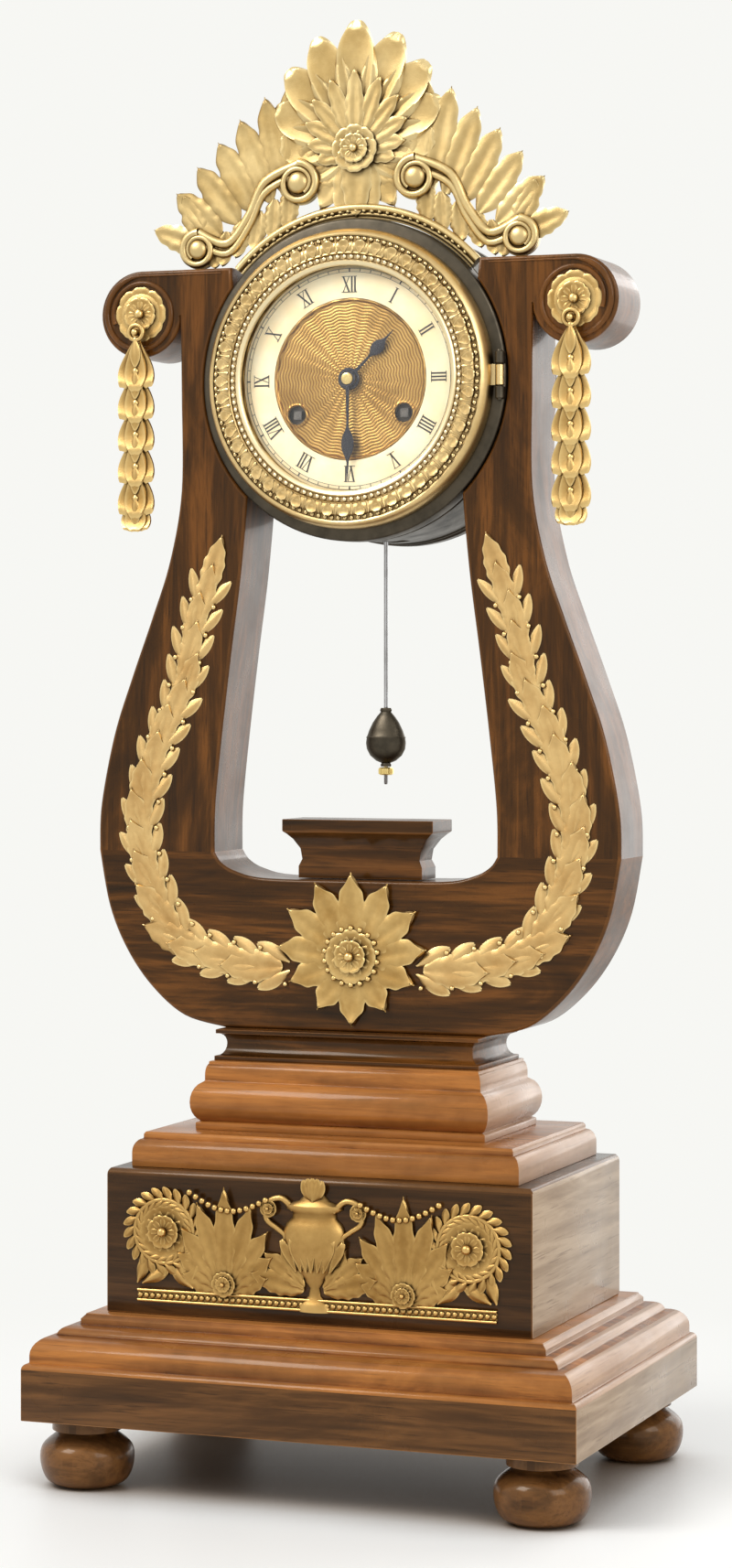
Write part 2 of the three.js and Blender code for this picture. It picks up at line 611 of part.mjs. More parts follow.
// Dial plate with feet, chapter ring
const dialRadius = drumMouth - seatGap;
const dialBack = drumFront - seatGap;
const dialFace = dialBack - dialThick;
const dialFootRadius = 1.6;
const dialFootOut = 40;
const pipeRadius = 3;
const windingHole = 3.6;
const feetAngles = [90, 205, 335];
const dialFeet = feetAngles.map((angle) =>
  at(rod(dialFootRadius, dialFace + dialThick / 2, frontPlateFace, 8), ...polar(dialFootOut, angle)),
);
const throughDial = (radius, x, z) =>
  at(rod(radius, dialFace - enamelThick - overrun, dialBack + overrun, 12), x, z);
const windingHoles = [-1, 1].map((side) => throughDial(windingHole, side * windingAcross, -windingDrop));
const dial = cut(
  join(rod(dialRadius, dialFace, dialBack, drumSteps), ...dialFeet),
  throughDial(pipeRadius + 2 * runGap, 0, 0),
  ...windingHoles,
);
piece(head, "dial_plate", dial, "gilt");
const chapter = tube(chapterInner, chapterOuter, dialFace - enamelThick, dialFace, drumSteps);
piece(head, "chapter_ring", chapter, "enamel");

// Rear cover: a dished round door with a knob
const coverFace = drumBack + seatGap;
const coverRadius = drumRadius - 0.75 * drumWall;
const coverThick = 2;
const coverRise = 4;
const coverEdge = 6;
const knobRadius = 3;
const knobLength = 6;
const coverProfile = [
  [0, coverFace + coverRise - coverThick], [coverRadius - 2 * coverEdge, coverFace + coverRise - coverThick],
  [coverRadius - coverEdge, coverFace], [coverRadius, coverFace], [coverRadius, coverFace + coverThick],
  [coverRadius - coverEdge, coverFace + coverThick], [coverRadius - 2 * coverEdge, coverFace + coverRise],
  [0, coverFace + coverRise],
];
const coverKnob = at(
  rod(knobRadius, coverFace + coverThick / 2, coverFace + coverThick + knobLength, 12),
  coverRadius - coverEdge / 2 - seatGap,
  0,
);
const coverKnuckle = tube(hingePin + runGap, knuckleRadius, -knuckleHalf, knuckleHalf, 10);
const coverTab = block(
  coverHinge.x + hingePin + 2 * runGap, coverEdge - coverRadius,
  coverFace + seatGap, coverFace + coverThick,
  -knuckleHalf, knuckleHalf,
);
const cover = join(
  turned(coverProfile, drumSteps),
  coverKnob,
  coverTab,
  upright(coverKnuckle, coverHinge.x, coverHinge.y, 0),
);
piece(head, "rear_cover", cover, "brass");

// Toothed wheels. A tooth is a thin wedge: two points each, so that a train meshes with room to spare.
const addendumShare = 0.55;
const dedendumShare = 0.95;
function toothOutline(teeth, module, phase) {
  const pitch = (teeth * module) / 2;
  const points = [];
  for (let i = 0; i < teeth; i += 1) {
    const angle = phase + (360 * i) / teeth;
    points.push(polar(pitch + module * addendumShare, angle));
    points.push(polar(pitch - module * dedendumShare, angle + 180 / teeth));
  }
  return outlineOf(points);
}
const crossings = 4;
const rimShare = 0.8;
const hubShare = 0.28;
const spokeShare = 0.16;
// A disc with teeth, its crossings cut out where open is true
function wheel(teeth, module, phase, front, back, open = true) {
  const outline = toothOutline(teeth, module, phase);
  const pitch = (teeth * module) / 2;
  if (open) {
    const span = 360 / crossings;
    const spoke = span * spokeShare;
    for (let i = 0; i < crossings; i += 1) {
      const from = i * span + spoke;
      const to = (i + 1) * span - spoke;
      const outer = [from, (from + to) / 2, to].map((angle) => polar(pitch * rimShare, angle));
      const inner = [to, from].map((angle) => polar(pitch * hubShare, angle));
      outline.holes.push(new THREE.Path([...outer, ...inner].map(([x, z]) => new THREE.Vector2(x, z))));
    }
  }
  return slab(outline, front, back);
}
// Tooth angle of a wheel at "to" that meshes with a wheel at "from": degrees in the front view
function meshPhase(from, to, fromTeeth, toTeeth, fromPhase) {
  const line = THREE.MathUtils.radToDeg(Math.atan2(to[1] - from[1], to[0] - from[0]));
  return line + 180 - ((fromPhase - line) * fromTeeth) / toTeeth + 180 / toTeeth;
}
const pivotRadius = 0.45;
const pivotHole = pivotRadius + 0.22;
const endShake = 0.2;
const arborSteps = 6;
// An arbor between the plates, with a thin pivot at each end
function arbor(radius, pivot = pivotRadius) {
  const [front, back] = [frontInner + endShake, backPlateFace - endShake];
  return turned(
    [[0, frontPlateFace], [pivot, frontPlateFace], [pivot, front], [radius, front], [radius, back],
      [pivot, back], [pivot, plateBack], [0, plateBack]],
    arborSteps,
  );
}

// Tooth counts and modules of the two trains
const barrelTeeth = 54;
const barrelModule = 0.7;
const intermediateLeaves = 9;
const intermediateTeeth = 48;
const intermediateModule = 0.5;
const centreLeaves = 8;
const centreTeeth = 72;
const centreModule = 0.34;
const thirdLeaves = 6;
const thirdTeeth = 60;
const thirdModule = 0.32;
const escapeLeaves = 6;
const escapeTeeth = 36;
const escapeRadius = 8.5;
const secondLeaves = 18;
const secondTeeth = 54;
const secondModule = 0.45;
const pinLeaves = 6;
const pinTeeth = 60;
const pinModule = 0.32;
const stopLeaves = 6;
const stopTeeth = 36;
const stopModule = 0.38;
const flyLeaves = 6;
const cannonTeeth = 12;
const minuteTeeth = 36;
const minuteModule = 0.45;
const minuteLeaves = 10;
const hourTeeth = 40;
const hourModule = 0.432;

// Arbor places, from the dial's centre: each distance is half the sum of the teeth, times the module
const reach = (a, b, module) => ((a + b) / 2) * module;
const along = ([x, z], distance, degrees) => {
  const [dx, dz] = polar(distance, degrees);
  return [x + dx, z + dz];
};
const centre = [0, 0];
const goingBarrel = [windingAcross, -windingDrop];
const strikeBarrel = [-windingAcross, -windingDrop];
// The meeting point of two circles, on the left of the way from a to b
function between(a, distanceA, b, distanceB) {
  const gap = Math.hypot(b[0] - a[0], b[1] - a[1]);
  const way = (distanceA ** 2 - distanceB ** 2 + gap ** 2) / (2 * gap);
  const side = Math.sqrt(distanceA ** 2 - way ** 2);
  const [ux, uz] = [(b[0] - a[0]) / gap, (b[1] - a[1]) / gap];
  return [a[0] + ux * way - uz * side, a[1] + uz * way + ux * side];
}
const intermediate = between(
  goingBarrel, reach(barrelTeeth, intermediateLeaves, barrelModule),
  centre, reach(intermediateTeeth, centreLeaves, intermediateModule),
);
const thirdAngle = 70;
const third = along(centre, reach(centreTeeth, thirdLeaves, centreModule), thirdAngle);
const escapeReach = reach(thirdTeeth, escapeLeaves, thirdModule);
const escape = [0, third[1] + Math.sqrt(escapeReach ** 2 - third[0] ** 2)];
const secondAngle = 80;
const second = along(strikeBarrel, reach(barrelTeeth, secondLeaves, barrelModule), secondAngle);
const pinAngle = 75;
const pinPlace = along(second, reach(secondTeeth, pinLeaves, secondModule), pinAngle);
const stopAngle = 60;
const stop = along(pinPlace, reach(pinTeeth, stopLeaves, pinModule), stopAngle);
const flyAngle = 170;
const fly = along(stop, reach(stopTeeth, flyLeaves, stopModule), flyAngle);
const minuteAngle = -60;
const minutePlace = along(centre, reach(cannonTeeth, minuteTeeth, minuteModule), minuteAngle);
const suspension = [0, suspensionRise];
const hammerOut = 33;
const hammerUp = 14;
const hammerPivot = [-hammerOut, hammerUp];

// Levels between the plates, from the back face of the front plate
const level = (offset) => frontInner + offset;
const wheelThick = 1.2;
const leafOverlap = 0.5; // how far a pinion runs past its wheel on each side
const centreIn = 1.5;
const strikeGreatIn = 5;
const thirdIn = 8;
const pinIn = 8.6;
const stopIn = 14;
const escapeIn = 16;
const goingGreatIn = 17;
const intermediateIn = 20.5;
const centreLevel = level(centreIn);
const strikeGreatLevel = level(strikeGreatIn);
const thirdLevel = level(thirdIn);
const pinLevel = level(pinIn);
const stopLevel = level(stopIn);
const escapeLevel = level(escapeIn);
const goingGreatLevel = level(goingGreatIn);
const intermediateLevel = level(intermediateIn);
const secondLevel = intermediateLevel;
const greatThick = 2;
const wheelAt = (teeth, module, phase, front, open) =>
  wheel(teeth, module, phase, front, front + wheelThick, open);
const pinionAt = (leaves, module, phase, front, thick = wheelThick) =>
  wheel(leaves, module, phase, front - leafOverlap, front + thick + leafOverlap, false);

// Barrels: a closed drum with a great wheel at one end and an arbor hole right through
const barrelRadius = 18;
const barrelWall = 1.2;
const barrelSteps = 18;
const barrelFront = strikeGreatLevel;
const barrelBack = goingGreatLevel + greatThick;
const coreRadius = 2.2;
const coreHole = coreRadius + runGap;
const barrelShell = turned(
  [[coreHole, barrelFront], [barrelRadius, barrelFront], [barrelRadius, barrelBack], [coreHole, barrelBack],
    [coreHole, barrelBack - barrelWall], [barrelRadius - barrelWall, barrelBack - barrelWall],
    [barrelRadius - barrelWall, barrelFront + barrelWall], [coreHole, barrelFront + barrelWall]],
  barrelSteps,
);
function barrel(phase, front) {
  const ring = toothOutline(barrelTeeth, barrelModule, phase);
  ring.holes.push(new THREE.Path().absarc(0, 0, barrelRadius - barrelWall / 2, 0, 2 * Math.PI, true));
  return join(barrelShell, slab(ring, front, front + greatThick, barrelSteps / 2));
}
// A mainspring: one strip wound outwards in even turns
const springTurns = 3;
const springSteps = 10;
const springInner = 4;
const springThick = 0.8;
const springOuter = barrelRadius - barrelWall - 2 * seatGap;
function mainspring() {
  const outer = [];
  const inner = [];
  const count = springTurns * springSteps;
  for (let i = 0; i <= count; i += 1) {
    const radius = springInner + ((springOuter - springThick - springInner) * i) / count;
    outer.push(polar(radius + springThick, (360 * i) / springSteps));
    inner.unshift(polar(radius, (360 * i) / springSteps));
  }
  return slab(outlineOf([...outer, ...inner]), barrelFront + 2 * barrelWall, barrelBack - 2 * barrelWall);
}
// A winding arbor: round core, ratchet in front of the front plate, square end behind the dial's hole
const ratchetTeeth = 18;
const ratchetRadius = 7.5;
const ratchetDepth = 1.2;
const ratchetThick = 1.2;
const squareHalf = 1.6;
const squareFront = dialFace + dialThick / 4;
const corePivot = 1.6;
function windingArbor(side) {
  const points = [];
  for (let i = 0; i < ratchetTeeth; i += 1) {
    const angle = (side * 360 * i) / ratchetTeeth;
    points.push(polar(ratchetRadius, angle));
    points.push(polar(ratchetRadius - ratchetDepth, angle + (side * 20) / ratchetTeeth));
  }
  const [front, back] = [frontInner + endShake, backPlateFace - endShake];
  const ratchetBack = frontPlateFace - endShake;
  return join(
    turned([[0, front], [coreRadius, front], [coreRadius, back], [corePivot, back], [corePivot, plateBack],
      [0, plateBack]], 12),
    rod(corePivot + runGap, ratchetBack - ratchetThick, front + overrun, 12),
    slab(outlineOf(points), ratchetBack - ratchetThick, ratchetBack),
    block(-squareHalf, squareHalf, squareFront, ratchetBack, -squareHalf, squareHalf),
  );
}
const frontCoreHole = corePivot + 2 * runGap;

// Where each wheel's first tooth or leaf stands
const goingPhase = 0;
const intermediatePhase = meshPhase(goingBarrel, intermediate, barrelTeeth, intermediateLeaves, goingPhase);
const centrePhase = meshPhase(intermediate, centre, intermediateTeeth, centreLeaves, 0);
const thirdPhase = meshPhase(centre, third, centreTeeth, thirdLeaves, 0);
const escapePhase = meshPhase(third, escape, thirdTeeth, escapeLeaves, 0);
const secondPhase = meshPhase(strikeBarrel, second, barrelTeeth, secondLeaves, 0);
const pinPhase = meshPhase(second, pinPlace, secondTeeth, pinLeaves, 0);
const stopPhase = meshPhase(pinPlace, stop, pinTeeth, stopLeaves, 0);
const flyPhase = meshPhase(stop, fly, stopTeeth, flyLeaves, 0);
const minutePhase = meshPhase(centre, minutePlace, cannonTeeth, minuteTeeth, 0);
const hourPhase = meshPhase(minutePlace, centre, minuteLeaves, hourTeeth, 0);

piece(head, "going_barrel", barrel(goingPhase, goingGreatLevel), "brass", ...goingBarrel);
piece(head, "strike_barrel", barrel(0, strikeGreatLevel), "brass", ...strikeBarrel);
piece(head, "going_mainspring", mainspring(), "steel", ...goingBarrel);
piece(head, "strike_mainspring", mainspring(), "steel", ...strikeBarrel);
piece(head, "going_winding_arbor", windingArbor(1), "steel", ...goingBarrel);
piece(head, "strike_winding_arbor", windingArbor(-1), "steel", ...strikeBarrel);

const stoutArbor = 1.2;
const fineArbor = 0.55;
piece(
  head,
  "intermediate_wheel",
  join(
    arbor(stoutArbor),
    wheelAt(intermediateTeeth, intermediateModule, 0, intermediateLevel),
    pinionAt(intermediateLeaves, barrelModule, intermediatePhase, goingGreatLevel, greatThick),
  ),
  "brass",
  ...intermediate,
);
// The centre arbor runs out through the dial; the cannon pinion and its nut sit on its front end
const centreFront = 0.9;
const handGap = 0.8;
const pipeThick = 0.9;
const hourHandBack = dialFace - enamelThick - handGap * 0.5;
const handThick = 0.7;
const minuteHandBack = hourHandBack - handThick - handGap * 0.75;
const nutClear = 0.1;
const nutBack = minuteHandBack - handThick - nutClear;
const nutThick = 0.7;
const arborTip = nutBack - nutThick;
piece(
  head,
  "centre_wheel",
  join(
    arbor(stoutArbor, centreFront),
    rod(centreFront, arborTip, frontPlateFace + overrun, 8),
    wheelAt(centreTeeth, centreModule, 0, centreLevel),
    pinionAt(centreLeaves, intermediateModule, centrePhase, intermediateLevel),
  ),
  "brass",
);
piece(
  head,
  "third_wheel",
  join(
    arbor(fineArbor),
    wheelAt(thirdTeeth, thirdModule, 0, thirdLevel),
    pinionAt(thirdLeaves, centreModule, thirdPhase, centreLevel),
  ),
  "brass",
  ...third,
);
const escapeDepthShare = 0.2;
const escapePoints = [];
for (let i = 0; i < escapeTeeth; i += 1) {
  const angle = (360 * i) / escapeTeeth;
  escapePoints.push(polar(escapeRadius, angle));
  escapePoints.push(polar(escapeRadius * (1 - escapeDepthShare), angle + 90 / escapeTeeth));
}
const escapeOutline = outlineOf(escapePoints);
piece(
  head,
  "escape_wheel",
  join(
    arbor(fineArbor),
    slab(escapeOutline, escapeLevel, escapeLevel + wheelThick),
    pinionAt(escapeLeaves, thirdModule, escapePhase, thirdLevel),
  ),
  "brass",
  ...escape,
);

// Pallets: an anchor over the escape wheel, its arbor through the back plate, and a crutch with a fork
const palletClear = 1.3;
const palletThick = 1.4;
const anchorHub = 2;
const palletAngle = 50;
const anchorDrop = suspensionRise - escape[1];
const palletTip = (side, radius) => {
  const [x, z] = polar(radius, 90 - side * palletAngle);
  return [x, z - anchorDrop];
};
const anchorArms = [-1, 1].map((side) => {
  const inner = palletTip(side, escapeRadius + palletClear);
  const outer = palletTip(side, escapeRadius + palletClear + palletThick);
  return slab(
    outlineOf([[0, anchorHub], [side * anchorHub * 2, anchorHub * 0.6], outer, inner, [0, -anchorHub * 0.6]]),
    escapeLevel,
    escapeLevel + wheelThick,
  );
});
const crutchLength = 28;
const crutchHalf = 0.8;
const behindPlate = 2.4; // the crutch and the hammer's arm stand this far behind the back plate
const crutchFront = plateBack + behindPlate;
const crutchThick = 1.2;
const rodRadius = 0.8;
const prongClear = 0.4;
const prongIn = rodRadius + prongClear;
const prongThick = 0.9;
const prongHigh = 3;
const palletArbor = 1;
const pallets = join(
  turned([[0, frontPlateFace], [pivotRadius, frontPlateFace], [pivotRadius, frontInner + endShake],
    [palletArbor, frontInner + endShake], [palletArbor, crutchFront + crutchThick], [0, crutchFront + crutchThick]], 8),
  rod(anchorHub, escapeLevel, escapeLevel + wheelThick),
  ...anchorArms,
  rod(anchorHub, crutchFront, crutchFront + crutchThick),
  block(-crutchHalf, crutchHalf, crutchFront, crutchFront + crutchThick, -crutchLength, 0),
  block(-prongIn - prongThick, prongIn + prongThick, crutchFront, crutchFront + crutchThick,
    -crutchLength - prongHigh, -crutchLength),
  ...[-1, 1].map((side) => {
    const [x0, x1] = [side * prongIn, side * (prongIn + prongThick)].sort((a, b) => a - b);
    return block(x0, x1, crutchFront, pendulumDeep + rodRadius, -crutchLength - prongHigh, -crutchLength);
  }),
);
piece(head, "pallets_and_crutch", pallets, "steel", ...suspension);

// Motion work in front of the front plate
const motionThick = 0.8;
const cannonLevel = frontPlateFace - endShake - motionThick;
const hourLevel = cannonLevel - 2 * endShake - motionThick;
const cannonBore = centreFront + runGap;
const cannonRadius = cannonBore + pipeThick * 0.8;
const hourBore = cannonRadius + runGap;
const minuteStud = 0.9;
piece(
  head,
  "cannon_pinion",
  cut(
    join(
      wheel(cannonTeeth, minuteModule, 0, cannonLevel, cannonLevel + motionThick, false),
      rod(cannonRadius, minuteHandBack - handThick, cannonLevel + motionThick, 12),
    ),
    rod(cannonBore, arborTip - overrun, frontPlateFace, 12),
  ),
  "steel",
);
piece(
  head,
  "minute_wheel",
  cut(
    join(
      wheel(minuteTeeth, minuteModule, minutePhase, cannonLevel, cannonLevel + motionThick, false),
      wheel(minuteLeaves, hourModule, 0, hourLevel - endShake, cannonLevel + motionThick / 2, false),
    ),
    rod(minuteStud + runGap, dialFace, frontPlateFace, 8),
  ),
  "brass",
  ...minutePlace,
);
piece(
  head,
  "hour_wheel",
  cut(
    join(
      wheel(hourTeeth, hourModule, hourPhase, hourLevel, hourLevel + motionThick, false),
      rod(pipeRadius, hourHandBack - handThick, hourLevel + motionThick, 14),
    ),
    rod(hourBore, arborTip, frontPlateFace, 14),
  ),
  "brass",
);

// Hands: a hub with a hole and a blade that swells and ends in a point
const minuteHandLength = 39;
const hourHandLength = 26;
const handWidth = 4.4;
const bladeShares = [[0.22, 0.08], [0.18, 0.45], [0.5, 0.62], [0.42, 0.76], [0.12, 0.84], [0, 1]];
function hand(length, hub, bore, back, degrees) {
  const right = bladeShares.map(([s, up]) => [s * handWidth, up * length]);
  const left = right.slice(0, -1).map(([x, z]) => [-x, z]).reverse();
  const blade = slab(outlineOf([...right, ...left]), back - handThick, back);
  const whole = join(rod(hub, back - handThick, back, 14), swung(blade, THREE.MathUtils.degToRad(degrees)));
  return cut(whole, rod(bore, back - handThick - overrun, back + overrun, 14));
}
const hubWall = 1.2;
const hourHandBore = pipeRadius + seatGap / 2;
const minuteHandBore = cannonRadius + seatGap / 2;
const hourPointing = -45; // half past one
const minutePointing = 180;
piece(
  head,
  "hour_hand",
  hand(hourHandLength, hourHandBore + hubWall, hourHandBore, hourHandBack, hourPointing),
  "blued",
);
piece(
  head,
  "minute_hand",
  hand(minuteHandLength, minuteHandBore + hubWall, minuteHandBore, minuteHandBack, minutePointing),
  "blued",
);
piece(head, "hand_nut", tube(centreFront + seatGap / 2, cannonRadius + hubWall / 2, arborTip, nutBack, 10), "brass");

// Strike train
const countRadius = 11;
const countThick = 1;
const countClear = 0.4;
const countFront = plateBack + countClear;
const notchDepth = 1.2;
const notchHalf = 1.2; // degrees
const countGroups = 12;
const countPoints = [];
for (let hour = 1, blows = 0; hour <= countGroups; hour += 1) {
  // The wheel's rim has a notch after each hour's blows and the single half-hour blow
  const all = (countGroups * (countGroups + 1)) / 2 + countGroups;
  const notch = (360 * blows) / all;
  blows += hour + 1;
  const next = (360 * blows) / all;
  countPoints.push(polar(countRadius, notch + notchHalf));
  for (let arc = 1; arc < hour / 4; arc += 1) {
    countPoints.push(polar(countRadius, notch + ((next - notch) * arc) / (hour / 4)));
  }
  countPoints.push(polar(countRadius, next - notchHalf));
  countPoints.push(polar(countRadius - notchDepth, next - notchHalf));
  countPoints.push(polar(countRadius - notchDepth, next + notchHalf));
}
piece(
  head,
  "second_and_count_wheel",
  join(
    arbor(stoutArbor, stoutArbor),
    rod(stoutArbor, plateBack - overrun, countFront + countThick, 8),
    wheelAt(secondTeeth, secondModule, 0, secondLevel),
    pinionAt(secondLeaves, barrelModule, secondPhase, strikeGreatLevel, greatThick),
    slab(outlineOf(countPoints), countFront, countFront + countThick),
  ),
  "brass",
  ...second,
);
const pinCount = 10;
const pinCircle = 8;
const strikePin = 0.5;
const strikePinLength = 3;
const middleArbor = 0.9;
const strikePins = Array.from({ length: pinCount }, (unused, i) =>
  at(rod(strikePin, pinLevel + wheelThick / 2, pinLevel + wheelThick + strikePinLength, 6),
    ...polar(pinCircle, (360 * (i + 0.5)) / pinCount)),
);
piece(
  head,
  "pin_wheel",
  join(
    arbor(middleArbor),
    wheelAt(pinTeeth, pinModule, 0, pinLevel),
    pinionAt(pinLeaves, secondModule, pinPhase, secondLevel),
    ...strikePins,
  ),
  "brass",
  ...pinPlace,
);
piece(
  head,
  "stop_wheel",
  join(
    arbor(fineArbor),
    wheelAt(stopTeeth, stopModule, 0, stopLevel),
    pinionAt(stopLeaves, pinModule, stopPhase, pinLevel),
  ),
  "brass",
  ...stop,
);
const vaneHalf = 5.4;
const vaneThick = 0.5;
const vaneFront = stopLevel + 3 * wheelThick;
const vaneLong = 6;
const vaneBack = vaneFront + vaneLong;
piece(
  head,
  "fly",
  join(
    arbor(fineArbor),
    pinionAt(flyLeaves, stopModule, flyPhase, stopLevel),
    block(-vaneHalf, vaneHalf, vaneFront, vaneBack, -vaneThick, vaneThick),
  ),
  "brass",
  ...fly,
);

// Hammer: a tail near the pin circle inside, an arm and a head behind the back plate
const hammerArbor = 1;
const hammerArm = 17.4;
const hammerLean = 58;
const hammerHeadRadius = 3.8;
const hammerHeadBack = 32;
const hammerHeadFront = 24;
const hammerStem = 1.3;
const hammerFront = plateBack + behindPlate;
const hammerThick = 1.6;
const tailReach = Math.hypot(pinPlace[0] - hammerPivot[0], pinPlace[1] - hammerPivot[1]);
const tailClear = 0.5;
const tailLength = tailReach - pinCircle - strikePin - tailClear;
const tailLean = THREE.MathUtils.radToDeg(
  Math.atan2(pinPlace[1] - hammerPivot[1], pinPlace[0] - hammerPivot[0]),
);
const tailHalf = 0.8;
const tailLift = 1;
const tailFront = pinLevel + wheelThick + tailLift;
const headAt = polar(hammerArm, hammerLean);
const lever = (length, half, front, back, degrees) =>
  swung(block(0, length, front, back, -half, half), THREE.MathUtils.degToRad(degrees));
piece(
  head,
  "hammer",
  join(
    turned([[0, frontPlateFace], [pivotRadius, frontPlateFace], [pivotRadius, frontInner + endShake],
      [hammerArbor, frontInner + endShake], [hammerArbor, hammerFront + hammerThick],
      [0, hammerFront + hammerThick]], 8),
    lever(tailLength, tailHalf, tailFront, tailFront + wheelThick, tailLean),
    lever(hammerArm, hammerStem, hammerFront, hammerFront + hammerThick, hammerLean),
    at(rod(hammerStem, hammerFront, hammerHeadFront + overrun), ...headAt),
    at(rod(hammerHeadRadius, hammerHeadFront, hammerHeadBack, 12), ...headAt),
  ),
  "steel",
  ...hammerPivot,
);

// Plates: the front plate carries the minute stud and the click studs, the back plate the pillars and bell stand
const clickOut = 10.8;
const clickAngle = 62;
const clickStud = 1;
const clickPlaces = [1, -1].map((side) =>
  along([side * windingAcross, -windingDrop], clickOut, side > 0 ? -clickAngle : clickAngle - 180),
);
const holeThrough = (radius, [x, z], front, steps = 7) =>
  at(rod(radius, front - overrun, front + plateThick + overrun, steps), x, z);
const finePivots = [intermediate, third, escape, pinPlace, stop, fly];
const centreHole = stoutArbor + runGap;
const frontHoles = [
  ...finePivots.map((place) => holeThrough(pivotHole, place, frontPlateFace)),
  ...[suspension, hammerPivot].map((place) => holeThrough(pivotHole, place, frontPlateFace)),
  ...[centre, second].map((place) => holeThrough(centreHole, place, frontPlateFace, 10)),
  ...[goingBarrel, strikeBarrel].map((place) => holeThrough(frontCoreHole, place, frontPlateFace, 12)),
];
const studBack = frontPlateFace + plateThick / 2;
piece(
  head,
  "front_plate",
  join(
    cut(rod(plateRadius, frontPlateFace, frontInner, 32), ...frontHoles),
    at(rod(minuteStud, hourLevel - 2 * endShake, studBack, 8), ...minutePlace),
    ...clickPlaces.map((place) =>
      at(rod(clickStud, frontPlateFace - ratchetThick - 2 * endShake, studBack, 8), ...place),
    ),
  ),
  "brass",
);
const backHoles = [
  ...finePivots.map((place) => holeThrough(pivotHole, place, backPlateFace)),
  ...[suspension, hammerPivot].map((place) => holeThrough(palletArbor + runGap, place, backPlateFace)),
  holeThrough(centreFront + runGap, centre, backPlateFace),
  holeThrough(centreHole, second, backPlateFace, 10),
  ...[goingBarrel, strikeBarrel].map((place) => holeThrough(corePivot + runGap, place, backPlateFace, 10)),
];
const pillarAngles = [0, 66, 180, 270];
const pillars = pillarAngles.map((angle) =>
  at(rod(pillarRadius, frontInner, backPlateFace + overrun, 10), ...polar(pillarOut, angle)),
);
const bellBack = bellFront + bellDepth;
const standAcross = 13;
const standRadius = 2;
const standDeep = 35.5;
const standThick = 2.5;
const standStud = 1.5;
const bellSeat = bellBack - bellWall - seatGap;
const bellNutThick = 2.6;
piece(
  head,
  "back_plate",
  join(
    cut(rod(plateRadius, backPlateFace, plateBack, 32), ...backHoles),
    ...pillars,
    at(rod(standRadius, plateBack - overrun, standDeep + standThick, 8), standAcross, 0),
    block(0, standAcross, standDeep, standDeep + standThick, -standRadius, standRadius),
    rod(standRadius + standStud / 2, standDeep, bellSeat, 10),
    rod(standStud, bellSeat - overrun, bellBack + bellNutThick + 2 * seatGap, 8),
  ),
  "brass",
);

// Clicks: short pawls that rest just clear of the ratchets
const clickLean = 52;
const clickReachShare = 1.57;
const clickHub = 2.3;
const clickWide = 0.8;
clickPlaces.forEach((place, index) => {
  const side = index === 0 ? 1 : -1;
  const [ax, az] = [side * windingAcross - place[0], -windingDrop - place[1]];
  const lean = THREE.MathUtils.radToDeg(Math.atan2(az, ax)) + side * clickLean;
  const length = (clickOut - ratchetRadius) * clickReachShare;
  const click = cut(
    join(
      rod(clickHub, frontPlateFace - endShake - ratchetThick, frontPlateFace - endShake, 10),
      lever(length, clickWide, frontPlateFace - endShake - ratchetThick, frontPlateFace - endShake, lean),
    ),
    rod(clickStud + runGap, frontPlateFace - 2 * ratchetThick, frontPlateFace, 8),
  );
  piece(head, side > 0 ? "going_click" : "strike_click", click, "steel", ...place);
});

// Bell and its nut. Shares of the radius and of the depth, from the mouth to the crown
const bellShares = [[1, 0], [0.97, 0.32], [0.8, 0.7], [0.45, 0.93]];
const bellHole = standStud + runGap;
const bellOutside = [...bellShares.map(([s, up]) => [s * bellRadius, bellFront + up * bellDepth]),
  [bellHole, bellBack]];
const bellInside = [...bellShares.map(([s, up]) => [
  s * (bellRadius - bellWall), bellFront + up * (bellDepth - bellWall)]), [bellHole, bellBack - bellWall]].reverse();
piece(head, "bell", turned([...bellOutside, ...bellInside], 16), "steel");
piece(
  head,
  "bell_nut",
  tube(standStud + runGap, standStud * 2.2, bellBack + seatGap, bellBack + seatGap + bellNutThick, 6),
  "brass",
);

// Suspension cock: a bracket on the back plate with a slot for the spring
const cockHalf = 4;
const cockBelow = 0.5;
const cockAbove = 6;
const cockSlot = 0.55;
const springAbove = 1.5;
const springHalfWidth = 2;
const springHalfThick = 0.15;
const cockWall = 1;
const cockBack = pendulumDeep + springHalfWidth + cockWall;
const cock = cut(
  block(-cockHalf, cockHalf, crutchFront + crutchThick + seatGap * 2, cockBack,
    suspensionRise - cockBelow, suspensionRise + cockAbove),
  block(-cockSlot, cockSlot, crutchFront, cockBack + overrun,
    suspensionRise - cockBelow - overrun, suspensionRise + springAbove + seatGap),
);
const cockFootRise = 3;
const cockFootUp = suspensionRise + cockFootRise;
const cockFoot = block(-cockHalf, cockHalf, plateBack, cockBack, cockFootUp, suspensionRise + cockAbove);
piece(head, "suspension_cock", join(cock, cockFoot), "brass");

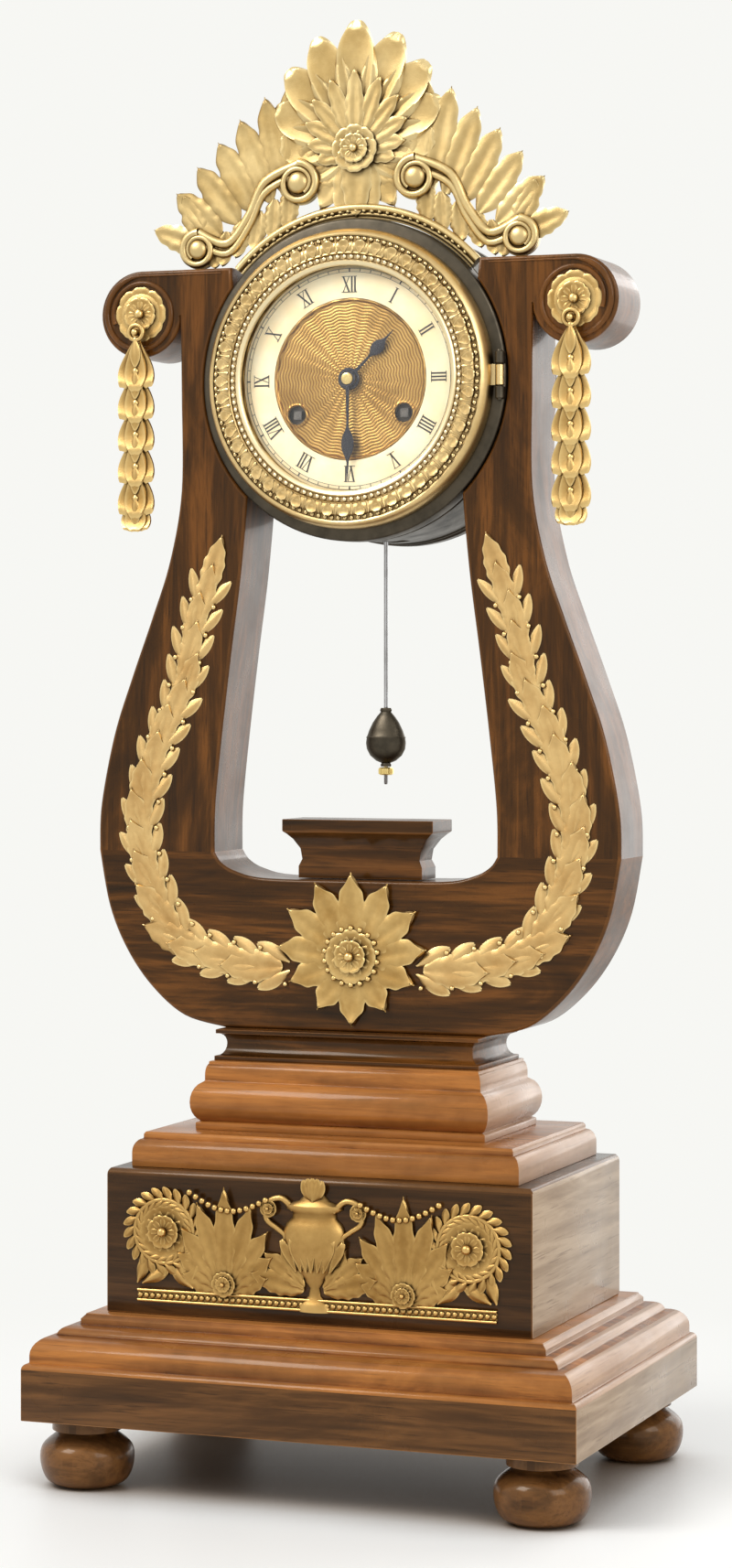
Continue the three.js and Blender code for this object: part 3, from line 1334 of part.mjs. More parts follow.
// Pendulum rod with its suspension spring, bob and rating nut, in the head's frame
const springFree = 6; // the suspension spring's free length
const chopUp = suspensionRise - springFree;
const chopHigh = 3.5;
const bobHeight = 23;
const bobRadius = 8.2;
const bobCentre = suspensionRise - pendulumLength;
const nutHigh = 3;
const nutRadius = 3;
const rodBelowNut = 4;
const rodEnd = bobCentre - bobHeight / 2 - nutHigh - rodBelowNut;
const standing = (geometry) => geometry.clone().rotateX(Math.PI / 2).translate(0, pendulumDeep, 0);
const pendulum = join(
  block(-springHalfThick, springHalfThick, pendulumDeep - springHalfWidth, pendulumDeep + springHalfWidth,
    chopUp - chopHigh / 2, suspensionRise + springAbove),
  block(-springHalfWidth, springHalfWidth, pendulumDeep - springHalfWidth, pendulumDeep + springHalfWidth,
    chopUp - chopHigh, chopUp),
  standing(rod(rodRadius, rodEnd, chopUp - chopHigh / 2, 8)),
);
piece(head, "pendulum_rod", pendulum, "steel");
const bobShares = [[0.25, 0], [0.75, 0.12], [1, 0.38], [0.88, 0.6], [0.55, 0.84], [0.25, 1]];
const bobBore = rodRadius + runGap;
const bobProfile = bobShares.map(([s, up]) => [s * bobRadius, bobCentre + (up - 0.5) * bobHeight]);
const bobFlatShare = 0.55; // its depth over its width
const bobTop = bobCentre + bobHeight / 2;
const bobBottom = bobCentre - bobHeight / 2;
const bobBody = turned([[0, bobBottom], ...bobProfile, [0, bobTop]], 12).scale(1, 1, bobFlatShare);
const bobHole = rod(bobBore, bobBottom - overrun, bobTop + overrun, 8);
piece(head, "pendulum_bob", cut(standing(bobBody), standing(bobHole)), "bronze");
const nutTop = bobBottom - seatGap;
piece(head, "rating_nut", standing(tube(bobBore, nutRadius, nutTop - nutHigh, nutTop, 10)), "brass");

export default clock;
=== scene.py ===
# A lyre mantel clock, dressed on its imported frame. X right, Y back, Z up; the dial faces -Y.
import json
import math

import bpy
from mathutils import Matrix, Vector

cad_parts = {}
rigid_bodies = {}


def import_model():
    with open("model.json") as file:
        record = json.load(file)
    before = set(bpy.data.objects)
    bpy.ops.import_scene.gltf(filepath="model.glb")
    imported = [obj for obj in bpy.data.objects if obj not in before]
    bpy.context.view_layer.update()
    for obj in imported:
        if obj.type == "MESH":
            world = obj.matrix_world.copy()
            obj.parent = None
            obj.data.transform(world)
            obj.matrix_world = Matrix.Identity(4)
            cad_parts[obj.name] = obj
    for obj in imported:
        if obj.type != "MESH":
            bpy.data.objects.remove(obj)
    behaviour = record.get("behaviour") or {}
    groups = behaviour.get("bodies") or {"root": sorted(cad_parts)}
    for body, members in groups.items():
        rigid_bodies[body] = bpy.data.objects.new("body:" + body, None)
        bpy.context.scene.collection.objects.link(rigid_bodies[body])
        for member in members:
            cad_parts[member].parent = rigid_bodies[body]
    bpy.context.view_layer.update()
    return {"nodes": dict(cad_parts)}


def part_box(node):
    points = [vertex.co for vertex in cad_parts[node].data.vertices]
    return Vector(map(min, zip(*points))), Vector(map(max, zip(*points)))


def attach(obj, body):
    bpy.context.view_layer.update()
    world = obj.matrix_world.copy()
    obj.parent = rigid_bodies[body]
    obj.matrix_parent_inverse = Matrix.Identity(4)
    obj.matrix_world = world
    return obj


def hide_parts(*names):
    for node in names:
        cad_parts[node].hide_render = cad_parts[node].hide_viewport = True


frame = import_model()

print("frame loaded:", len(frame["nodes"]), "nodes")
bpy.ops.object.select_all(action="DESELECT")

mm = 0.001  # pieces are modelled in millimetres and brought to metres when they are dressed
near = 0.01  # millimetres within which two heights are the same
mergeWithin = 1e-4


def boxOf(node):
    low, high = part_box(node)
    return Vector(low) / mm, Vector(high) / mm


def middleOf(node):
    low, high = boxOf(node)
    return (low + high) / 2


# Selecting and finishing, as by hand

def only(*pieces):
    if bpy.context.object and bpy.context.object.mode != "OBJECT":
        bpy.ops.object.mode_set(mode="OBJECT")
    bpy.ops.object.select_all(action="DESELECT")
    for piece in pieces:
        piece.select_set(True)
    bpy.context.view_layer.objects.active = pieces[0]


def settle(piece):  # puts the piece's place into its mesh
    only(piece)
    bpy.ops.object.transform_apply(location=True, rotation=True, scale=True)
    return piece


def modify(piece, kind, **settings):
    only(piece)
    modifier = piece.modifiers.new(kind, kind)
    for key, value in settings.items():
        setattr(modifier, key, value)
    bpy.ops.object.modifier_apply(modifier=modifier.name)
    return piece


def copyOf(piece, place=(0, 0, 0), turn=(0, 0, 0), size=(1, 1, 1)):
    new = piece.copy()
    new.data = piece.data.copy()
    bpy.context.collection.objects.link(new)
    new.location, new.rotation_euler, new.scale = place, turn, size
    return new


def joined(name, pieces):
    for piece in pieces:
        settle(piece)
    only(*pieces)
    if len(pieces) > 1:
        bpy.ops.object.join()
    whole = bpy.context.object
    whole.name = whole.data.name = name
    return whole


def remove(*pieces):
    for piece in pieces:
        bpy.data.objects.remove(piece)


def added():  # the primitive that was just made, with nothing else selected
    piece = bpy.context.object
    only(piece)
    return piece


def choose(kind, test):  # selects the parts of the active mesh that pass the test, in edit mode
    bpy.ops.object.mode_set(mode="EDIT")
    bpy.ops.mesh.select_mode(type=kind)
    bpy.ops.mesh.select_all(action="DESELECT")
    bpy.ops.object.mode_set(mode="OBJECT")
    mesh = bpy.context.object.data
    for part in {"VERT": mesh.vertices, "EDGE": mesh.edges, "FACE": mesh.polygons}[kind]:
        part.select = bool(test(part))
    bpy.ops.object.mode_set(mode="EDIT")


def pick(test):
    choose("VERT", lambda point: test(point.co))


def outwards(piece):
    only(piece)
    bpy.ops.object.mode_set(mode="EDIT")
    bpy.ops.mesh.select_all(action="SELECT")
    bpy.ops.mesh.remove_doubles(threshold=mergeWithin)
    bpy.ops.mesh.normals_make_consistent(inside=False)
    bpy.ops.object.mode_set(mode="OBJECT")
    return piece


def cut(piece, tool):
    modify(piece, "BOOLEAN", object=tool, operation="DIFFERENCE", solver="EXACT")
    remove(tool)


def bored(piece, radius, place, depth, sides):  # a round hole along Y
    bpy.ops.object.select_all(action="DESELECT")
    bpy.ops.mesh.primitive_cylinder_add(vertices=sides, radius=radius, depth=depth, location=place,
                                        rotation=(math.pi / 2, 0, 0))
    cut(piece, settle(added()))


def dress(piece, material, nodes=(), body="case", angle=35, flat=False):
    piece.scale = [side * mm for side in piece.scale]
    piece.location = [way * mm for way in piece.location]
    settle(piece)
    bpy.ops.object.shade_smooth_by_angle(angle=math.radians(angle))
    if flat:  # big faces stay flat up to their rounded rims
        modify(piece, "WEIGHTED_NORMAL", keep_sharp=True)
    piece.data.materials.clear()
    piece.data.materials.append(material)
    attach(piece, body)
    if nodes:
        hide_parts(*nodes)
    return piece


# Shapes that several pieces share

def spun(name, profile, place=(0, 0, 0), axis="Y", steps=96):
    # profile: [radius, level] from one end of the axis to the other, or closed on itself
    bpy.ops.object.select_all(action="DESELECT")
    bpy.ops.mesh.primitive_plane_add(size=1)
    piece = added()
    piece.name = piece.data.name = name
    bpy.ops.object.mode_set(mode="EDIT")
    bpy.ops.mesh.select_mode(type="VERT")
    bpy.ops.mesh.merge(type="CENTER")
    way = (lambda r, y: (r, y, 0)) if axis == "Y" else (lambda r, z: (r, 0, z))
    bpy.ops.transform.translate(value=way(*profile[0]))
    for (r0, y0), (r1, y1) in zip(profile, profile[1:]):
        bpy.ops.mesh.extrude_region_move(TRANSFORM_OT_translate={"value": way(r1 - r0, y1 - y0)})
    bpy.ops.mesh.select_all(action="SELECT")
    around = (0, 1, 0) if axis == "Y" else (0, 0, 1)
    bpy.ops.mesh.spin(steps=steps, angle=2 * math.pi, center=(0, 0, 0), axis=around)
    bpy.ops.object.mode_set(mode="OBJECT")
    outwards(piece)
    piece.location = place
    return piece


def moulded(name, halfX, halfY, profile, bevel=0.35):
    # A block whose sides follow [inset, level] points, mitred at the corners
    bpy.ops.object.select_all(action="DESELECT")
    bpy.ops.mesh.primitive_plane_add(size=2, location=(0, 0, 0))
    piece = added()
    piece.name = piece.data.name = name
    inset, level = profile[0]
    bpy.ops.object.mode_set(mode="EDIT")
    bpy.ops.transform.resize(value=(halfX - inset, halfY - inset, 1), center_override=(0, 0, 0))
    bpy.ops.transform.translate(value=(0, 0, level))
    for (i0, z0), (i1, z1) in zip(profile, profile[1:]):
        bpy.ops.mesh.extrude_region_move(TRANSFORM_OT_translate={"value": (0, 0, z1 - z0)})
        share = ((halfX - i1) / (halfX - i0), (halfY - i1) / (halfY - i0), 1)
        bpy.ops.transform.resize(value=share, center_override=(0, 0, z1))
    bpy.ops.object.mode_set(mode="OBJECT")
    outwards(piece)
    if bevel:
        modify(piece, "BEVEL", width=bevel, segments=2, limit_method="ANGLE", angle_limit=math.radians(50))
    return piece


def quarter(start, end, hollow=False, steps=8):
    # Points of a quarter round, or of a hollow, from start to end, without the start
    (x0, z0), (x1, z1) = start, end
    points = []
    for i in range(1, steps + 1):
        turn = math.pi / 2 * i / steps
        rising, easing = math.sin(turn), 1 - math.cos(turn)
        across, up = (rising, easing) if hollow else (easing, rising)
        points.append((x0 + (x1 - x0) * across, z0 + (z1 - z0) * up))
    return points


def flowing(points, steps=8):
    # A smooth line through the points
    line = []
    for i in range(len(points) - 1):
        p0, p1, p2, p3 = (Vector(points[min(max(i + k, 0), len(points) - 1)]) for k in (-1, 0, 1, 2))
        for step in range(steps):
            t = step / steps
            line.append(tuple(
                (2 * p1 + (p2 - p0) * t + (2 * p0 - 5 * p1 + 4 * p2 - p3) * t * t
                 + (3 * p1 - p0 - 3 * p2 + p3) * t ** 3) / 2
            ))
    return line + [tuple(points[-1])]


def arc(x, z, radius, start, end, steps=24):
    turns = [math.radians(start + (end - start) * i / steps) for i in range(steps + 1)]
    return [(x + radius * math.cos(a), z + radius * math.sin(a)) for a in turns]


def eased(piece, edge, seam=None):
    # Makes the front and the back one face each and rounds their rims, but not along a seam at that height
    depths = [point.co.y for point in piece.data.vertices]
    levels = (min(depths), max(depths))
    for level in levels:
        only(piece)
        choose("FACE", lambda side: abs(side.center.y - level) < near and abs(side.normal.y) > 0.9)
        bpy.ops.mesh.dissolve_faces()
        bpy.ops.object.mode_set(mode="OBJECT")

    def isRim(line):
        a, b = (piece.data.vertices[k].co for k in line.vertices)
        onRim = abs(a.y - b.y) < near and min(abs(a.y - level) for level in levels) < near
        onSeam = seam is not None and abs(a.z - seam) < near and abs(b.z - seam) < near
        return onRim and not onSeam

    only(piece)
    choose("EDGE", isRim)
    bpy.ops.mesh.bevel(offset=edge, segments=3, clamp_overlap=False)
    bpy.ops.object.mode_set(mode="OBJECT")
    return piece


def drawn(name, points, closed):  # a curve of straight lines through the points
    bpy.ops.object.select_all(action="DESELECT")
    bpy.ops.curve.primitive_bezier_circle_add()
    piece = added()
    piece.name = name
    piece.data.splines.clear()
    spline = piece.data.splines.new("POLY")
    spline.points.add(len(points) - 1)
    for point, place in zip(spline.points, points):
        point.co = (*place, 1)
    spline.use_cyclic_u = closed
    return piece


def plate(name, outline, front, back, edge=0):
    # A front-view outline given its depth, with its edges eased
    piece = drawn(name, [(x, z, 0) for x, z in outline], True)
    curve = piece.data
    curve.dimensions, curve.fill_mode, curve.extrude = "2D", "BOTH", (back - front) / 2
    only(piece)
    bpy.ops.object.convert(target="MESH")
    piece = bpy.context.object
    piece.rotation_euler, piece.location = (math.pi / 2, 0, 0), (0, (front + back) / 2, 0)
    settle(piece)
    outwards(piece)
    return eased(piece, edge) if edge else piece


def stem(name, line, thick, y, closed=False):
    # A round rod along [x, z] points at the level y; thick is its radius, or its radius at a share of the way
    piece = drawn(name, [(x, y, z) for x, z in line], closed)
    curve = piece.data
    for i, point in enumerate(curve.splines[0].points):
        point.radius = thick(i / (len(line) - 1)) if callable(thick) else thick
    curve.dimensions, curve.bevel_depth, curve.bevel_resolution = "3D", 1, 3
    curve.use_fill_caps = True
    only(piece)
    bpy.ops.object.convert(target="MESH")
    return outwards(bpy.context.object)


def mirroredCopy(piece):
    settle(piece)
    other = copyOf(piece, size=(-1, 1, 1))
    settle(other)
    outwards(other)
    return other


# Cast ornament: each unit stands 1 high from the origin, 1 wide, with its face to -Y

def frond(name, widths, relief, tipCurl, thick=0.12, levels=2):
    # widths: the outline's share of the width, row by row
    # relief: heights of the middle, inner and outer columns
    rows = len(widths) - 1
    columns = ((-1, 0.02), (0.02, 0.3), (0.3, 2))  # shares of the width between which each column lies
    bpy.ops.object.select_all(action="DESELECT")
    bpy.ops.mesh.primitive_grid_add(x_subdivisions=4, y_subdivisions=rows, size=1, location=(0, 0.5, 0))
    piece = settle(added())
    piece.name = name
    for row, width in enumerate(widths):
        up = row / rows
        pick(lambda co: abs(co.y - up) < 0.01)
        bpy.ops.transform.resize(value=(width, 1, 1), center_override=(0, up, 0))
        curl = tipCurl * max(0, (up - 0.55) / 0.45) ** 2
        bpy.ops.transform.translate(value=(0, 0, curl))
        notch = 0 < row < rows and width < (widths[row - 1] + widths[row + 1]) / 2
        swell = math.sin(math.pi * min(up + 0.12, 1)) ** 0.5
        for (least, most), height in zip(columns, relief):
            outer = most == columns[-1][1]
            pick(lambda co: abs(co.y - up) < 0.01 and least < abs(co.x) / width <= most)
            sink = 0.4 if notch and outer else 1
            lift = 0.35 / rows if outer and not notch else 0
            bpy.ops.transform.translate(value=(0, lift, height * sink * swell))
    bpy.ops.object.mode_set(mode="OBJECT")
    modify(piece, "SUBSURF", levels=levels, render_levels=levels)
    modify(piece, "SOLIDIFY", thickness=thick, offset=-1)
    piece.rotation_euler = (math.pi / 2, 0, 0)
    return settle(piece)


def bead(name):  # a slightly flattened pearl
    bpy.ops.object.select_all(action="DESELECT")
    bpy.ops.mesh.primitive_uv_sphere_add(segments=10, ring_count=5, radius=1)
    piece = added()
    piece.name = name
    pick(lambda co: co.z > 0.9)
    bpy.ops.transform.translate(value=(0, 0, -0.12))
    bpy.ops.object.mode_set(mode="OBJECT")
    return piece


print("modelling the ornament units")
acanthusWidths = [0.3, 0.42, 0.8, 0.6, 1, 0.72, 0.96, 0.62, 0.7, 0.34, 0.05]
castWidths = [0.3, 0.5, 0.84, 0.64, 1, 0.74, 0.96, 0.64, 0.72, 0.4, 0.06]
lobeWidths = [0.2, 0.34, 0.5, 0.66, 0.8, 0.92, 1, 0.98, 0.8, 0.3]
units = {
    "acanthus": frond("unitAcanthus", acanthusWidths, (0.02, 0.17, 0.05), 0.22),
    "castLeaf": frond("unitCastLeaf", castWidths, (0.02, 0.17, 0.05), 0.16, 0.14),
    "lobe": frond("unitLobe", lobeWidths, (0, 0.06, 0.2), 0.1, 0.2),
    "petal": frond("unitPetal", [0.22, 0.42, 0.66, 0.88, 1, 0.9, 0.4], (0.02, 0.1, 0.16), 0.3, levels=1),
    "dart": frond("unitDart", [0.9, 0.7, 0.4, 0.1], (0.2, 0.1, 0), 0.05, 0.3, levels=1),
    "laurel": frond("unitLaurel", [0.25, 0.7, 0.98, 1, 0.72, 0.06], (0.22, 0.12, 0), 0.05, levels=1),
    "bead": bead("unitBead"),
}


def lay(kind, length, width, lean, x, z, front, depth):
    # A unit laid with its foot at x, z and its back at the level front, leaning clockwise by lean degrees
    return copyOf(units[kind], (x, front, z), (0, math.radians(lean), 0), (width, depth, length))


def pearl(x, z, front, radius):
    return copyOf(units["bead"], (x, front, z), (0, 0, 0), (radius, radius * 0.8, radius))


def rosette(name, radius, x, z, front, depth, petals=8):
    pieces = []
    for share, lift, turn in ((1, 0, 0), (0.62, 0.45, 0.5)):  # an outer ring of petals and an inner one
        for i in range(petals):
            lean = 360 * (i + turn) / petals
            width = 2.5 * radius * share * math.sin(math.pi / petals)
            pieces.append(lay("petal", radius * share, width, lean, x, z, front - lift * depth, depth * 0.7))
    pieces.append(pearl(x, z, front - depth * 0.9, radius * 0.2))
    return joined(name, pieces)


dialCentre = middleOf("dial_plate")


# Short names for shader nodes

def newMaterial(name):
    material = bpy.data.materials.new(name)
    material.use_nodes = True
    nodes = material.node_tree.nodes
    return material, material.node_tree, nodes["Principled BSDF"], nodes["Material Output"]


def setInputs(shader, **values):
    for key, value in values.items():
        shader.inputs[key.replace("_", " ")].default_value = value


def makeGroup(name, inputs, outputs):
    group = bpy.data.node_groups.new(name, "ShaderNodeTree")
    for label, kind, value in inputs:
        socket = group.interface.new_socket(name=label, in_out="INPUT", socket_type=kind)
        if value is not None:
            socket.default_value = value
    for label, kind in outputs:
        group.interface.new_socket(name=label, in_out="OUTPUT", socket_type=kind)
    return group, group.nodes.new("NodeGroupInput"), group.nodes.new("NodeGroupOutput")


def node(tree, kind, **settings):
    new = tree.nodes.new(kind)
    for key, value in settings.items():
        if key.startswith("in_"):
            place = key[3:]
            new.inputs[int(place) if place.isdigit() else place.replace("_", " ")].default_value = value
        else:
            setattr(new, key, value)
    return new


def ramp(tree, source, stops):
    new = tree.nodes.new("ShaderNodeValToRGB")
    while len(new.color_ramp.elements) < len(stops):
        new.color_ramp.elements.new(0.5)
    for element, (place, colour) in zip(new.color_ramp.elements, stops):
        element.position, element.color = place, (*colour, 1)
    tree.links.new(source, new.inputs[0])
    return new.outputs["Color"]


def ranged(tree, source, low, high, to=(0, 1)):
    new = node(tree, "ShaderNodeMapRange", in_1=low, in_2=high, in_3=to[0], in_4=to[1])
    tree.links.new(source, new.inputs[0])
    return new.outputs[0]


def maths(tree, operation, first, second=None):
    new = node(tree, "ShaderNodeMath", operation=operation)
    for place, value in ((0, first), (1, second)):
        if isinstance(value, (int, float)):
            new.inputs[place].default_value = value
        elif value is not None:
            tree.links.new(value, new.inputs[place])
    return new.outputs[0]


def blend(tree, mask, first, second, mode="MIX"):
    new = node(tree, "ShaderNodeMix", data_type="RGBA", blend_type=mode)
    for place, value in ((0, mask), (6, first), (7, second)):
        if isinstance(value, (tuple, float, int)):
            new.inputs[place].default_value = value
        else:
            tree.links.new(value, new.inputs[place])
    return new.outputs[2]


def noise(tree, vector, scale, detail=3, roughness=0.55, distortion=0):
    new = node(tree, "ShaderNodeTexNoise", in_Scale=scale, in_Detail=detail, in_Roughness=roughness,
               in_Distortion=distortion)
    tree.links.new(vector, new.inputs["Vector"])
    return new.outputs[0]


# Camera, light and floor, in metres

view = {
    "azimuth": 20.8,  # degrees round the clock, from its front towards +X
    "distance": 1.444,
    "height": 0.3086,
    "lens": 85.65,
    "sensor": 36,
    "shiftX": -0.0006,
    "shiftY": -0.0708,
}
azimuth = math.radians(view["azimuth"])
bpy.ops.object.camera_add(
    location=(math.sin(azimuth) * view["distance"], -math.cos(azimuth) * view["distance"], view["height"]),
    rotation=(math.pi / 2, 0, azimuth),
)
camera = bpy.context.object
camera.data.sensor_fit, camera.data.sensor_height, camera.data.lens = "VERTICAL", view["sensor"], view["lens"]
camera.data.shift_x, camera.data.shift_y = view["shiftX"], view["shiftY"]
camera.data.clip_start = 0.05
bpy.context.scene.camera = camera
bpy.context.scene.view_settings.view_transform = "Standard"

lampAim = Vector((0, 0, 0.28))
lamps = {
    "keyLamp": {"place": (-1.0, -1.2, 1.7), "size": 0.9, "power": 27},
    "fillLamp": {"place": (1.7, -1.0, 1.2), "size": 1.2, "power": 17},
    "backLamp": {"place": (0.5, 1.4, 1.3), "size": 1.0, "power": 7},
    "sheenLamp": {"place": (0.75, 1.9, 0.35), "size": 1.5, "power": 10},
}
for name, lamp in lamps.items():
    bpy.ops.object.light_add(type="AREA", location=lamp["place"])
    light = bpy.context.object
    light.name = name
    light.data.size, light.data.energy = lamp["size"], lamp["power"]
    light.rotation_euler = (lampAim - light.location).to_track_quat("-Z", "Y").to_euler()

backdrop = {
    "seen": (0.93, 0.93, 0.9, 1),
    "lighting": (0.55, 0.55, 0.56, 1),
    "melt": (0.1, 0.42),  # how far out the floor starts to fade into the backdrop, and where it ends
    "floor": (0.82, 0.82, 0.8, 1),
    # painted shadow: the floor colour under the base, and how far the AO looks for the base above
    "paintedShadow": (0.2, 0.13, 0.075, 1),
    "paintedShadowReach": 0.06,
    "openness": (0.2, 0.75),
    "glow": (1, 1, 0.97, 1),
    "glowStrength": 0.1,
}


def seenMask(tree):  # 1 where the backdrop is looked at, straight, in a reflection or through glass
    path = node(tree, "ShaderNodeLightPath")
    straight = maths(tree, "MAXIMUM", path.outputs["Is Camera Ray"], path.outputs["Is Transmission Ray"])
    return maths(tree, "MAXIMUM", straight, path.outputs["Is Glossy Ray"])


def makeFloorFinish():
    # Pale paper that fades into the backdrop, with a painted shadow where the base stands close over it: AO
    # darkens its colour and glow there
    material, tree, shader, out = newMaterial("paleFloor")
    place = node(tree, "ShaderNodeTexCoord")
    reach = node(tree, "ShaderNodeVectorMath", operation="LENGTH")
    tree.links.new(place.outputs["Object"], reach.inputs[0])
    start, end = backdrop["melt"]
    farness = node(tree, "ShaderNodeMapRange", interpolation_type="SMOOTHSTEP", in_1=start, in_2=end)
    tree.links.new(reach.outputs["Value"], farness.inputs[0])
    fading = maths(tree, "MULTIPLY", farness.outputs[0], seenMask(tree))
    # painted shadow: AO darkens the floor's colour and its glow where the base stands close over it
    paintedContactShade = node(tree, "ShaderNodeAmbientOcclusion", samples=12, in_Distance=backdrop["paintedShadowReach"])
    openness = ranged(tree, paintedContactShade.outputs["AO"], *backdrop["openness"])
    colour = blend(tree, openness, backdrop["paintedShadow"], backdrop["floor"])
    tree.links.new(colour, shader.inputs["Base Color"])
    setInputs(shader, Roughness=0.45, Specular_IOR_Level=0.3, Emission_Color=backdrop["glow"])
    strength = maths(tree, "MULTIPLY", openness, backdrop["glowStrength"])
    tree.links.new(strength, shader.inputs["Emission Strength"])
    glow = node(tree, "ShaderNodeEmission", in_Color=backdrop["seen"])
    paled = node(tree, "ShaderNodeMixShader")
    for place, source in enumerate((fading, shader.outputs[0], glow.outputs[0])):
        tree.links.new(source, paled.inputs[place])
    tree.links.new(paled.outputs[0], out.inputs["Surface"])
    return material


world = bpy.data.worlds.new("room")
world.use_nodes = True
bpy.context.scene.world = world
room = world.node_tree
room.links.new(blend(room, seenMask(room), backdrop["lighting"], backdrop["seen"]),
               room.nodes["Background"].inputs["Color"])
bpy.ops.object.select_all(action="DESELECT")
bpy.ops.mesh.primitive_plane_add(size=8, location=(0, 0, 0))
floor = settle(added())
floor.name = "floor"
floor.data.materials.append(makeFloorFinish())
print("camera, light and floor made")


# Effects that several finishes use, each a group with its own values in every finish

def makeEdgeWear():
    # 1 on worn edges and high points, 0 elsewhere; hollows is 1 in the recesses
    group, ins, outs = makeGroup(
        "edgeWear",
        [("Vector", "NodeSocketVector", None), ("Scale", "NodeSocketFloat", 300),
         ("Edge", "NodeSocketFloat", 0.56), ("Hollow", "NodeSocketFloat", 0.44)],
        [("Edges", "NodeSocketFloat"), ("Hollows", "NodeSocketFloat")],
    )
    geometry = node(group, "ShaderNodeNewGeometry")
    patchy = node(group, "ShaderNodeTexNoise", in_Detail=4)
    group.links.new(ins.outputs["Vector"], patchy.inputs["Vector"])
    group.links.new(ins.outputs["Scale"], patchy.inputs["Scale"])
    shifted = maths(group, "ADD", geometry.outputs["Pointiness"], maths(
        group, "MULTIPLY", maths(group, "SUBTRACT", patchy.outputs[0], 0.5), 0.05))
    edges = node(group, "ShaderNodeMapRange", in_1=0.5)
    group.links.new(shifted, edges.inputs[0])
    group.links.new(ins.outputs["Edge"], edges.inputs[2])
    hollows = node(group, "ShaderNodeMapRange", in_1=0.5)
    group.links.new(shifted, hollows.inputs[0])
    group.links.new(ins.outputs["Hollow"], hollows.inputs[2])
    group.links.new(edges.outputs[0], outs.inputs["Edges"])
    group.links.new(hollows.outputs[0], outs.inputs["Hollows"])
    return group


def makeWoodFigure():
    # Figure: broad dark and light stripes along the first axis; Pores: short fine dark strokes
    group, ins, outs = makeGroup(
        "woodFigure",
        [("Vector", "NodeSocketVector", None), ("Scale", "NodeSocketFloat", 1)],
        [("Figure", "NodeSocketFloat"), ("Pores", "NodeSocketFloat")],
    )
    scaled = node(group, "ShaderNodeVectorMath", operation="SCALE")
    group.links.new(ins.outputs["Vector"], scaled.inputs[0])
    group.links.new(ins.outputs["Scale"], scaled.inputs["Scale"])
    wander = node(group, "ShaderNodeMapping")
    wander.inputs["Scale"].default_value = (5, 26, 26)
    group.links.new(scaled.outputs[0], wander.inputs["Vector"])
    broad = noise(group, wander.outputs[0], 1.6, 5, 0.6, 1.4)
    lines = node(group, "ShaderNodeMapping")
    lines.inputs["Scale"].default_value = (10, 210, 210)
    group.links.new(scaled.outputs[0], lines.inputs["Vector"])
    fine = noise(group, lines.outputs[0], 1.5, 4, 0.6, 0.5)
    strokes = node(group, "ShaderNodeMapping")
    strokes.inputs["Scale"].default_value = (60, 1500, 1500)
    group.links.new(scaled.outputs[0], strokes.inputs["Vector"])
    pores = noise(group, strokes.outputs[0], 1, 2, 0.5)
    figure = maths(group, "ADD", maths(group, "MULTIPLY", broad, 0.62), maths(group, "MULTIPLY", fine, 0.38))
    group.links.new(ranged(group, figure, 0.33, 0.67), outs.inputs["Figure"])
    group.links.new(ranged(group, pores, 0.6, 0.72), outs.inputs["Pores"])
    return group


def makeCastSkin():
    # The skin of a chased casting: a matt punched ground, with patches of brighter tone
    group, ins, outs = makeGroup(
        "castSkin",
        [("Vector", "NodeSocketVector", None), ("Grain", "NodeSocketFloat", 2600)],
        [("Height", "NodeSocketFloat"), ("Patches", "NodeSocketFloat")],
    )
    punched = node(group, "ShaderNodeTexVoronoi")
    group.links.new(ins.outputs["Vector"], punched.inputs["Vector"])
    group.links.new(ins.outputs["Grain"], punched.inputs["Scale"])
    patches = noise(group, ins.outputs["Vector"], 55, 4)
    group.links.new(punched.outputs["Distance"], outs.inputs["Height"])
    group.links.new(ranged(group, patches, 0.35, 0.68), outs.inputs["Patches"])
    return group


edgeWear = makeEdgeWear()
woodFigure = makeWoodFigure()
castSkin = makeCastSkin()


def useGroup(tree, group, vector, **values):
    new = node(tree, "ShaderNodeGroup", node_tree=group)
    tree.links.new(vector, new.inputs["Vector"])
    for key, value in values.items():
        new.inputs[key].default_value = value
    return new


def bump(tree, shader, height, strength, distance, under=None):
    new = node(tree, "ShaderNodeBump", in_Strength=strength, in_Distance=distance)
    tree.links.new(height, new.inputs["Height"])
    if under:
        tree.links.new(under, new.inputs["Normal"])
    tree.links.new(new.outputs[0], shader.inputs["Normal"])
    return new.outputs[0]


def objectPlace(tree, turn=(0, 0, 0), move=(0, 0, 0)):
    place = node(tree, "ShaderNodeTexCoord")
    mapping = node(tree, "ShaderNodeMapping")
    mapping.inputs["Rotation"].default_value, mapping.inputs["Location"].default_value = turn, move
    tree.links.new(place.outputs["Object"], mapping.inputs["Vector"])
    return mapping.outputs[0]


# Finishes

woodTones = {  # dark stripes, ground, light stripes, worn edges
    "case": ((0.035, 0.01, 0.002), (0.17, 0.05, 0.008), (0.4, 0.14, 0.026), (0.46, 0.19, 0.05)),
    "base": ((0.022, 0.009, 0.003), (0.07, 0.028, 0.008), (0.15, 0.062, 0.018), (0.36, 0.16, 0.05)),
    "plinth": ((0.01, 0.004, 0.001), (0.032, 0.012, 0.003), (0.075, 0.03, 0.008), (0.22, 0.09, 0.024)),
    "lyre": ((0.013, 0.0045, 0.001), (0.05, 0.017, 0.0022), (0.14, 0.048, 0.008), (0.2, 0.075, 0.017)),
    # side veneer and the mouldings beside it, painted pale as a painted sheen where the faces look to the
    # side
    "paled": ((0.2, 0.13, 0.08), (0.34, 0.24, 0.155), (0.46, 0.34, 0.23), (0.52, 0.38, 0.25)),
    "paintedSheenMould": ((0.2, 0.115, 0.07), (0.36, 0.215, 0.135), (0.5, 0.32, 0.205), (0.55, 0.36, 0.24)),
}


